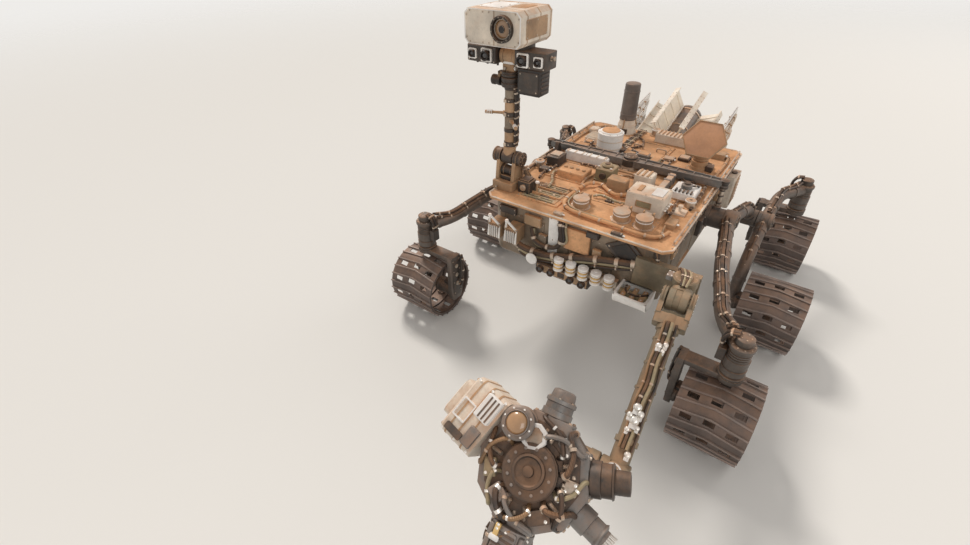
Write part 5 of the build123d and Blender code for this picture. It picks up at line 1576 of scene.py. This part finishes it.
def make_generator():
    core = CORE
    power = Shape("generator_dressed")
    power.lathe(core,
                ((0, 108), (8, 124), (30, 126), (34, 121), (606, 121), (610, 126), (632, 124), (640, 108),
                 (640.5, 60), (646, 56), (650, 30)), "grey", 48)
    power.lathe(core, ((-80, 66), (-76, 72), (-64, 72), (-62, 68), (2, 68)), "aluminium", 36)
    power.bolts(core.raised(640), circle(12, 88), 6)
    power.bolts(core.back(), circle(12, 92), 6)
    long = 580
    for i in range(8):
        fin = core.turned(22.5 + 45 * i)
        blade = Grid(fin(0, 0, 30), fin.x, fin.y)
        power.slab(blade, ((116, 0), (306, -14), (306, 14 - long), (116, -long)), -4, 4, "cream")
        power.slab(blade, ((302, 0), (310, 0), (310, -long), (302, -long)), -23, 23, "cream")
        for k in range(4):
            z = -70 - 146 * k
            power.slab(blade, ((120, z - 4), (300, z - 4), (300, z + 4), (120, z + 4)), -10, 10, "cream")
        power.bolts(Grid(fin(310, 0, 0), fin.z, fin.x), [(60 + 66 * k, j * 15) for k in range(8) for j in (-1, 1)],
                    3.4)
        power.tube([fin(140, 9, 40), fin(140, 9, 600)], 5, "silver", 8)
    for z in (60, 320, 580):
        power.band(core.raised(z), 119, 16, "aluminium", 8, 48)
    power.dress("generator_grey")


def make_generator_mount():
    mount = Shape("generator_mount_dressed")
    for s in (1, -1):
        for z in (760, 1010):
            a, b = Vector((s * 260, REAR_WALL, z)), Vector((s * 92, 722, 890))
            mount.rod(a, b, 13.5, "aluminium", 18)
            mount.drum(a, a + Vector((0, 10, 0)), 28, "aluminium", 24, 2)
            mount.bolts(rearing(a + Vector((0, 9, 0)), 1), circle(4, 20), 4, "dark")
            mount.drum(a + (b - a) * 0.82, a + (b - a) * 0.95, 19, "dark", 20, 2)
    mount.hoop(CORE, 40, ((74, -56), (112, -58), (112, -28), (74, -28)), "aluminium", loop=True)
    mount.bolts(CORE.back(-58), circle(12, 96), 5, "dark")
    mount.dress("bare_aluminium")


def make_exchanger_plates():
    plates = Shape("exchanger_plates_dressed")
    for s in (1, -1):
        wall = flank((s * 390, 0, 0))
        outline = [(720, 730), (1280, 830), (1360, 1230), (860, 1150)]
        plates.slab(wall, outline, -5, 5, "bright")
        middle = Vector((1055, 985))
        ring = [(middle.x + (a - middle.x) * k, middle.y + (b - middle.y) * k) for k in (1.0, 0.965)
                for a, b in outline]
        for q in (-7, 7):
            for i in range(4):
                a, b, c, d = ring[i], ring[(i + 1) % 4], ring[4 + (i + 1) % 4], ring[4 + i]
                plates.slab(wall, (a, b, c, d), min(q, 0), max(q, 0), "bright")
        # a pipe to and fro along both faces, under clips
        def spot(u, v):
            near = Vector(outline[0]).lerp(Vector(outline[1]), u)
            return near.lerp(Vector(outline[3]).lerp(Vector(outline[2]), u), v)
        rows = [0.1 + 0.16 * k for k in range(6)]
        for face in (-1, 1):
            run = [spot(u, v) for k, v in enumerate(rows) for u in ((0.06, 0.94) if k % 2 == 0 else (0.94, 0.06))]
            line = eased([wall(p.x, p.y, face * 13) for p in run], 29)
            plates.tube(line, 8.5, "bright" if face * s < 0 else "white", 10)
            for v in rows:
                for u in (0.25, 0.5, 0.75):
                    p = spot(u, v)
                    plates.slab(wall.moved(p.x, p.y), rounded(12, 30, 3), min(0, face * 23), max(0, face * 23),
                                "tan")
        for z in (800, 1000):
            plates.rod((s * 390, 820, z), (s * 330, REAR_WALL, z), 11.5, "aluminium", 16)
            plates.drum((s * 330, REAR_WALL, z), (s * 330, REAR_WALL + 10, z), 24, "aluminium", 20, 2)
            plates.bolts(flank((s * 395, 820, z), s), circle(4, 16), 4, "dark")
    plates.dress("white_paint")


# Front, sides and rear

AT_FRONT = (0, FRONT_WALL, 0)


def make_front_fittings():
    front = Shape("front_fittings", AT_FRONT)
    # white upright strip and a folded dark cover under the deck's front edge
    front.slab(fronting((-108, -8, 880)), ((-26, -170), (30, -150), (40, 206), (-36, 206)), -4, 4, "bright")
    front.bolts(fronting((-108, -12, 880)), ((-14, -140), (14, -130), (-22, 190), (26, 190), (0, 40)), 4)
    front.box((120, -34, 1036), (200, 0, 1082), "black", 4)
    front.box((128, -38, 1044), (192, -32, 1074), "dark", 3)
    fold = fronting((370, -10, 990))
    front.slab(fold, ((-130, 30), (0, 108), (120, 10), (16, -96)), -6, 4, "dark")
    front.slab(fold, ((-92, 26), (0, 82), (84, 10), (12, -68)), 3, 9, "black")
    front.bolts(fold.raised(4), ((-104, 28), (0, 90), (98, 10), (12, -78)), 4.5)
    # the drooping harness along the front
    for k, (r, look) in enumerate(((21, "cable"), (12, "olive"), (9, "black"))):
        d = 26 * k
        front.harness([(-470 + d, -12, 830), (-400 + d, -40, 838 - d * 0.5), (-300, -44 - 4 * k, 806 - d),
                       (-150, -44, 808 - d), (0, -42, 848 - d), (160, -38, 896 - d), (300, -36, 934 - d),
                       (400, -30, 952 - d * 0.8), (462, -14, 958 - d * 0.6)], r, look, 8)
    # a second loop of harness that droops from the deck beside the white strip
    for k, (r, look) in enumerate(((15, "cable"), (10, "black"), (8, "olive"))):
        front.harness([(-66 + 20 * k, -4, 1080), (-56 + 20 * k, -26, 1030), (-40 + 18 * k, -30, 950),
                       (-70 - 8 * k, -34, 890), (-160 - 8 * k, -34, 866 - 6 * k), (-230, -30, 890 - 8 * k),
                       (-262 + 8 * k, -14, 960)], r, look, 4)
    # boxes on the wall: columns are x, z, width, height, finish
    boxes = ((-260, 1010, 120, 70, "tan"), (60, 972, 168, 150, "deck_dust"), (-450, 1030, 130, 50, "dark"),
             (-180, 900, 60, 70, "blanket"), (196, 930, 54, 60, "tan"))
    for x, z, wide, high, look in boxes:
        front.box((x - wide / 2, -22, z - high / 2), (x + wide / 2, 2, z + high / 2), look, 4)
        front.bolts(fronting((x, -22, z)), spread(wide / 2 - 9, high / 2 - 9), 3.6)
    for x in (-330, 150):
        front.bolts(fronting((x, 7, 900)), spread(138, 88, 2, 5) + spread(92, 98, 5, 2), 3.6)
    for k in range(3):
        front.harness([(560, 4 + 14 * k, 700), (575, -14, 780 + 8 * k), (572, -20, 880), (560, -16, 1000),
                       (548 - 12 * k, -2, 1076)], 7, ("cable", "amber", "black")[k], 4)
    front.ride("chassis", "white_paint")


def make_bit_boxes():
    bits = Shape("bit_boxes_dressed", AT_FRONT)
    for x in (-500, -370):
        bits.box((x - 45, -110, 850), (x + 45, 0, 960), "tan", 6)
        bits.box((x - 38, -116, 858), (x + 38, -108, 950), "dark", 2)
        for i in range(5):
            bits.box((x - 34 + 15 * i, -122, 860), (x - 26 + 15 * i, -112, 948), "bright", 2)
        for s in (-1, 1):
            bits.rod((x + s * 38, -100, 955), (x, -150, 1040), 8, "bright", 14)
            bits.rod((x + s * 38, -100, 955), (x + s * 42, -112, 858), 7.5, "bright", 14)
            bits.drum((x + s * 38, -100, 948), (x + s * 38, -100, 964), 13, "aluminium", 18, 2)
            bits.rod((x + s * 26, -100, 958), (x, -146, 1030), 4, "tan", 10)
        bits.drum((x, -150, 1030), (x, -150, 1050), 12, "bright", 20, 3)
        bits.bolts(Grid((x, -55, 960)), ((-32, -36), (32, -36), (-32, 36), (32, 36)), 4)
    bits.dress("white_paint", 0.8)


def make_canister_row():
    row = Shape("canister_row_dressed", AT_FRONT)
    row.box((-60, -40, 752), (360, 0, 800), "aluminium", 4)
    row.bolts(fronting((150, -40, 776)), [(-190 + 85 * i, 0) for i in range(6)], 4, "dark")
    for i in range(5):
        x = -20 + i * 85
        here = Grid((x, -75, 760))
        row.lathe(here, ((0, 27), (3, 32), (16, 33), (18, 29), (22, 29)), "bright", 28)
        for k in range(4):
            row.lathe(here, ((22 + 13 * k, 26), (24 + 13 * k, 32), (29 + 13 * k, 32.5), (34 + 13 * k, 26)),
                      "bright" if k % 2 else "gold", 28)
        row.lathe(here, ((74, 29), (76, 33), (86, 33), (90, 28), (90.5, 12), (94, 10)), "bright", 28)
        row.box((x - 12, -60, 765), (x + 12, -30, 790), "aluminium", 3)
    row.dress("bare_aluminium")


def make_front_housing():
    house = Shape("front_housing_dressed", (0, FRONT_WALL - 76, 812))
    arc = [(-math.cos(math.pi * i / 24), -math.sin(math.pi * i / 24)) for i in range(25)]

    def ring(x, big):
        return [(x, min(big * a, 76), big * b) for a, b in arc]

    for big, small, low, high in ((90, 78, 385, 585), (92.5, 90, 385, 397), (92.5, 90, 573, 585)):
        house.skin([ring(x, big) + ring(x, small)[::-1] for x in (low, high)], "bright")
    for low, high in ((385, 397), (573, 585)):
        house.skin([ring(low, 84), ring(high, 84)], "bright")
    house.lathe(flank((396, 0, -38)),
                [(q, 30 - 3 * (k % 2)) for k in range(19) for q in (1 + 9.6 * k, 9 + 9.6 * k)], "olive", 28)
    # a rolled white lip round the open top
    lip = [(391, 66, 2), (391, -70, 2), (410, -89, 3), (560, -89, 3), (579, -70, 2), (579, 66, 2)]
    house.tube(eased(lip, 26), 9, "bright", 14)
    for x in (430, 485, 540):
        house.box((x - 14, -60, -22), (x + 14, 50, -8), "tan", 3)
        house.bolts(Grid((x, 0, -8)), ((0, -44), (0, 34)), 4, "silver")
    for x in (400, 570):
        house.bolts(Grid((x, -84, -2)), ((0, 0), (0, 160)), 4)
    house.harness([(420, 40, -4), (440, -20, 2), (500, -30, -2), (560, 20, -6)], 6, "black", 3)
    house.dress("white_paint")


def make_hazard_cameras():
    eyes = Shape("hazard_cameras_dressed")
    eyes.box((-190, FRONT_WALL - 62, 678), (190, FRONT_WALL, 748), "dark", 4)
    eyes.box((-182, FRONT_WALL - 66, 686), (182, FRONT_WALL - 60, 740), "tan", 3)
    spots = [((x, FRONT_WALL - 66, 713), (0, -1, 0), 27) for x in (-150, -70, 70, 150)]
    for s in (1, -1):
        eyes.box((s * 430, REAR_WALL, 960), (s * 580, REAR_WALL + 60, 1030), "dark", 4)
        spots += [((s * x, REAR_WALL + 59, 995), (0, 1, 0), 24) for x in (465, 545)]
    for place, out, long in spots:
        lens = Grid(place, (1, 0, 0), out)
        eyes.lathe(lens,
                   ((0, 25), (4, 25), (5, 21), (long - 4, 21), (long - 2, 24), (long, 22), (long, 17),
                    (long - 6, 15)), "black", 26)
        eyes.lathe(lens.raised(long - 7), ((0, 15.5), (2, 13), (5, 7), (6, 2)), "lens", 22)
        eyes.bolts(lens.raised(3), circle(4, 27, 0.78), 2.6, "silver")
    eyes.box((-24, FRONT_WALL - 70, 694), (24, FRONT_WALL - 60, 732), "dark", 3)
    eyes.dress("white_paint", 0.6)


def make_observation_tray():
    tray = Shape("observation_tray_dressed", AT_FRONT)
    tray.lathe(fronting((-210, -88, 780)), ((0, 36), (3, 40), (10, 40), (12, 37), (9, 33), (8.5, 6)), "bright", 36)
    tray.rod((-210, -90, 780), (-210, 0, 780), 10.5, "aluminium", 18)
    tray.drum((-210, -14, 780), (-210, 0, 780), 24, "aluminium", 24, 2)
    tray.dress("bare_aluminium")


def make_bracket_trim():
    bracket = Shape("arm_bracket_trim")
    bracket.bolts(underneath(SHOULDER - Vector((0, 0, 104))), circle(8, 50), 5)
    bracket.ride("chassis", "arm_metal")


def make_side_fittings():
    trim = Shape("side_fittings")
    for s in (1, -1):
        for y in (-560, 360):
            inner = flank((s * (SIDE_WALL - 6), y, 880), s)
            trim.pad(inner, rounded(430, 214, 14), -1, 5, "blanket", 4)
            trim.bolts(inner.raised(4.5),
                       [(-200 + 80 * i, j * 96) for i in range(6) for j in (-1, 1)]
                       + [(i * 200, 0) for i in (-1, 1)], 4)
            trim.box((s * SIDE_WALL, y - 250, 1016), (s * (SIDE_WALL + 7), y + 250, 1024), "tan", 2)
            trim.box((s * SIDE_WALL, y - 250, 736), (s * (SIDE_WALL + 7), y + 250, 744), "tan", 2)
        for k, (z, r, look) in enumerate(
                ((1066, 10, "cable"), (1044, 8, "olive"), (1052, 7, "black")) if s > 0 else ()):
            route = ((598, -880, 0), (600, -620, -4), (600, -330, 3), (599, -150, 0), (600, 120, -3), (601, 420, 2),
                     (598, 600, 0))
            trim.harness([(x + 4 * k, y, z + up) for x, y, up in route], r, look, 14)
        # small boxes: columns are y, z, length, height, depth, finish
        boxes = ((-230, 900, 90, 120, 26, "dark"), (150, 960, 70, 60, 22, "tan"),
                 (80, 800, 110, 80, 20, "aluminium"), (-800, 1000, 90, 50, 16, "tan"))
        for y, z, wide, high, deep, look in boxes:
            trim.box((s * (SIDE_WALL - 2), y - wide / 2, z - high / 2),
                     (s * (SIDE_WALL + deep), y + wide / 2, z + high / 2), look, 4)
            trim.bolts(flank((s * (SIDE_WALL + deep), y, z), s), spread(wide / 2 - 9, high / 2 - 9), 3.4, "silver")
        # a louvred cover on the side instruments
        box = flank((s * 655, 555, 850), s)
        trim.pad(box, rounded(140, 220, 10), -2, 4, "tan")
        for i in range(7):
            trim.box((s * 657, 498, 770 + 25 * i), (s * 664, 612, 778 + 25 * i), "aluminium", 2)
        trim.bolts(box.raised(3.5), spread(60, 100), 4, "silver")
        trim.drum((s * 620, 560, 980), (s * 620, 560, 992), 22, "dark", 24, 3)
    # the rear wall
    rear = rearing((0, REAR_WALL, 880))
    trim.pad(rear, rounded(360, 300, 20), -2, 6, "blanket")
    trim.bolts(rear.raised(5), [(-165 + 66 * i, j * 136) for i in range(6) for j in (-1, 1)], 4)
    for s in (1, -1):
        trim.box((s * 440, REAR_WALL - 4, 760), (s * 560, REAR_WALL + 16, 900), "tan", 4)
        trim.bolts(rearing((s * 500, REAR_WALL + 16, 830)), spread(50, 58), 4, "silver")
    # the belly
    trim.bolts(underneath((0, -150, BELLY)), [(i * 490, -700 + 140 * j) for i in (-1, 1) for j in range(11)], 5)
    for x, y in ((-250, -420), (250, -420), (0, 260)):
        here = underneath((x, y, BELLY - 14))
        trim.pad(here, rounded(300, 360, 24), -1, 4, "tan")
        trim.bolts(here, spread(164, 190, 2, 5) + spread(80, 196, 3, 2), 4.5)
    for x in (-430, 430):
        trim.tube([(x, -820, BELLY - 3), (x, 560, BELLY - 3)], 9, "aluminium", 10)
        for y in range(-780, 560, 190):
            trim.box((x - 18, y - 10, BELLY - 15), (x + 18, y + 10, BELLY + 1), "dark", 3)
    trim.ride("chassis", "white_paint")


def make_lift_points():
    lift = Shape("lift_trims")
    for x, y in ((-540, -420), (540, -420), (-60, 650)):
        here = on_deck(x, y)
        lift.hoop(here, 28, ((31, 0), (44, 0), (44, 5), (40, 7), (31, 7)), "tan", caps=False)
        lift.bolts(here.raised(6), circle(6, 38), 3.6)
        lift.hoop(here, 28, ((31, 44), (33.5, 46), (33.5, 52), (31, 54)), "bright", caps=False)
    lift.ride("chassis", "bare_aluminium")


# CAD nodes that keep their own form: columns are node, finish, edge radius in mm
# the body's blanket finish is darker than the real one: painted shade on its walls
KEPT = (("body", "blanket", 5), ("belly_pan", "grey", 2), ("deck", "deck_dust", 2),
        ("side_instruments", "white", 3), ("arm_bracket", "arm", 3), ("calibration_target", "white", 1),
        ("lift_points", "aluminium", 2), ("inlet_port", "tan", 1.5), ("inlet_middle", "tan", 1.5),
        ("inlet_starboard", "tan", 1.5), ("inlet_cover_port", "aluminium", 1),
        ("inlet_cover_middle", "aluminium", 1), ("inlet_cover_starboard", "aluminium", 1))


def dress_nodes():
    for node, look, edge in KEPT:
        o = NODES[node]
        o.data.materials.clear()
        o.data.materials.append(LOOKS[look])
        weld = o.modifiers.new("weld", "WELD")
        weld.merge_threshold = 0.00005
        soft = o.modifiers.new("edge", "BEVEL")
        soft.width = edge / 1000
        soft.segments = 2
        soft.limit_method = "ANGLE"
        soft.angle_limit = math.radians(40)
        soft.harden_normals = False
        soft.use_clamp_overlap = True


for make in (make_camera, make_floor, make_light, make_wheels, make_knuckles, make_suspension, make_shoulder,
             make_upper_arm, make_forearm, make_wrist, make_turret_core, make_drill, make_sample_processor,
             make_turret_sensors, make_mast_base, make_mast_column, make_mast_yoke, make_camera_bar,
             make_laser_head, make_deck_fittings, make_deck_boxes, make_inlets, make_differential,
             make_antenna_base, make_antenna_fork, make_antenna_dish, make_relay_antenna, make_low_gain_antenna,
             make_generator, make_generator_mount, make_exchanger_plates, make_front_fittings, make_bit_boxes,
             make_canister_row, make_front_housing, make_hazard_cameras, make_observation_tray, make_bracket_trim,
             make_side_fittings, make_lift_points, dress_nodes):
    make()
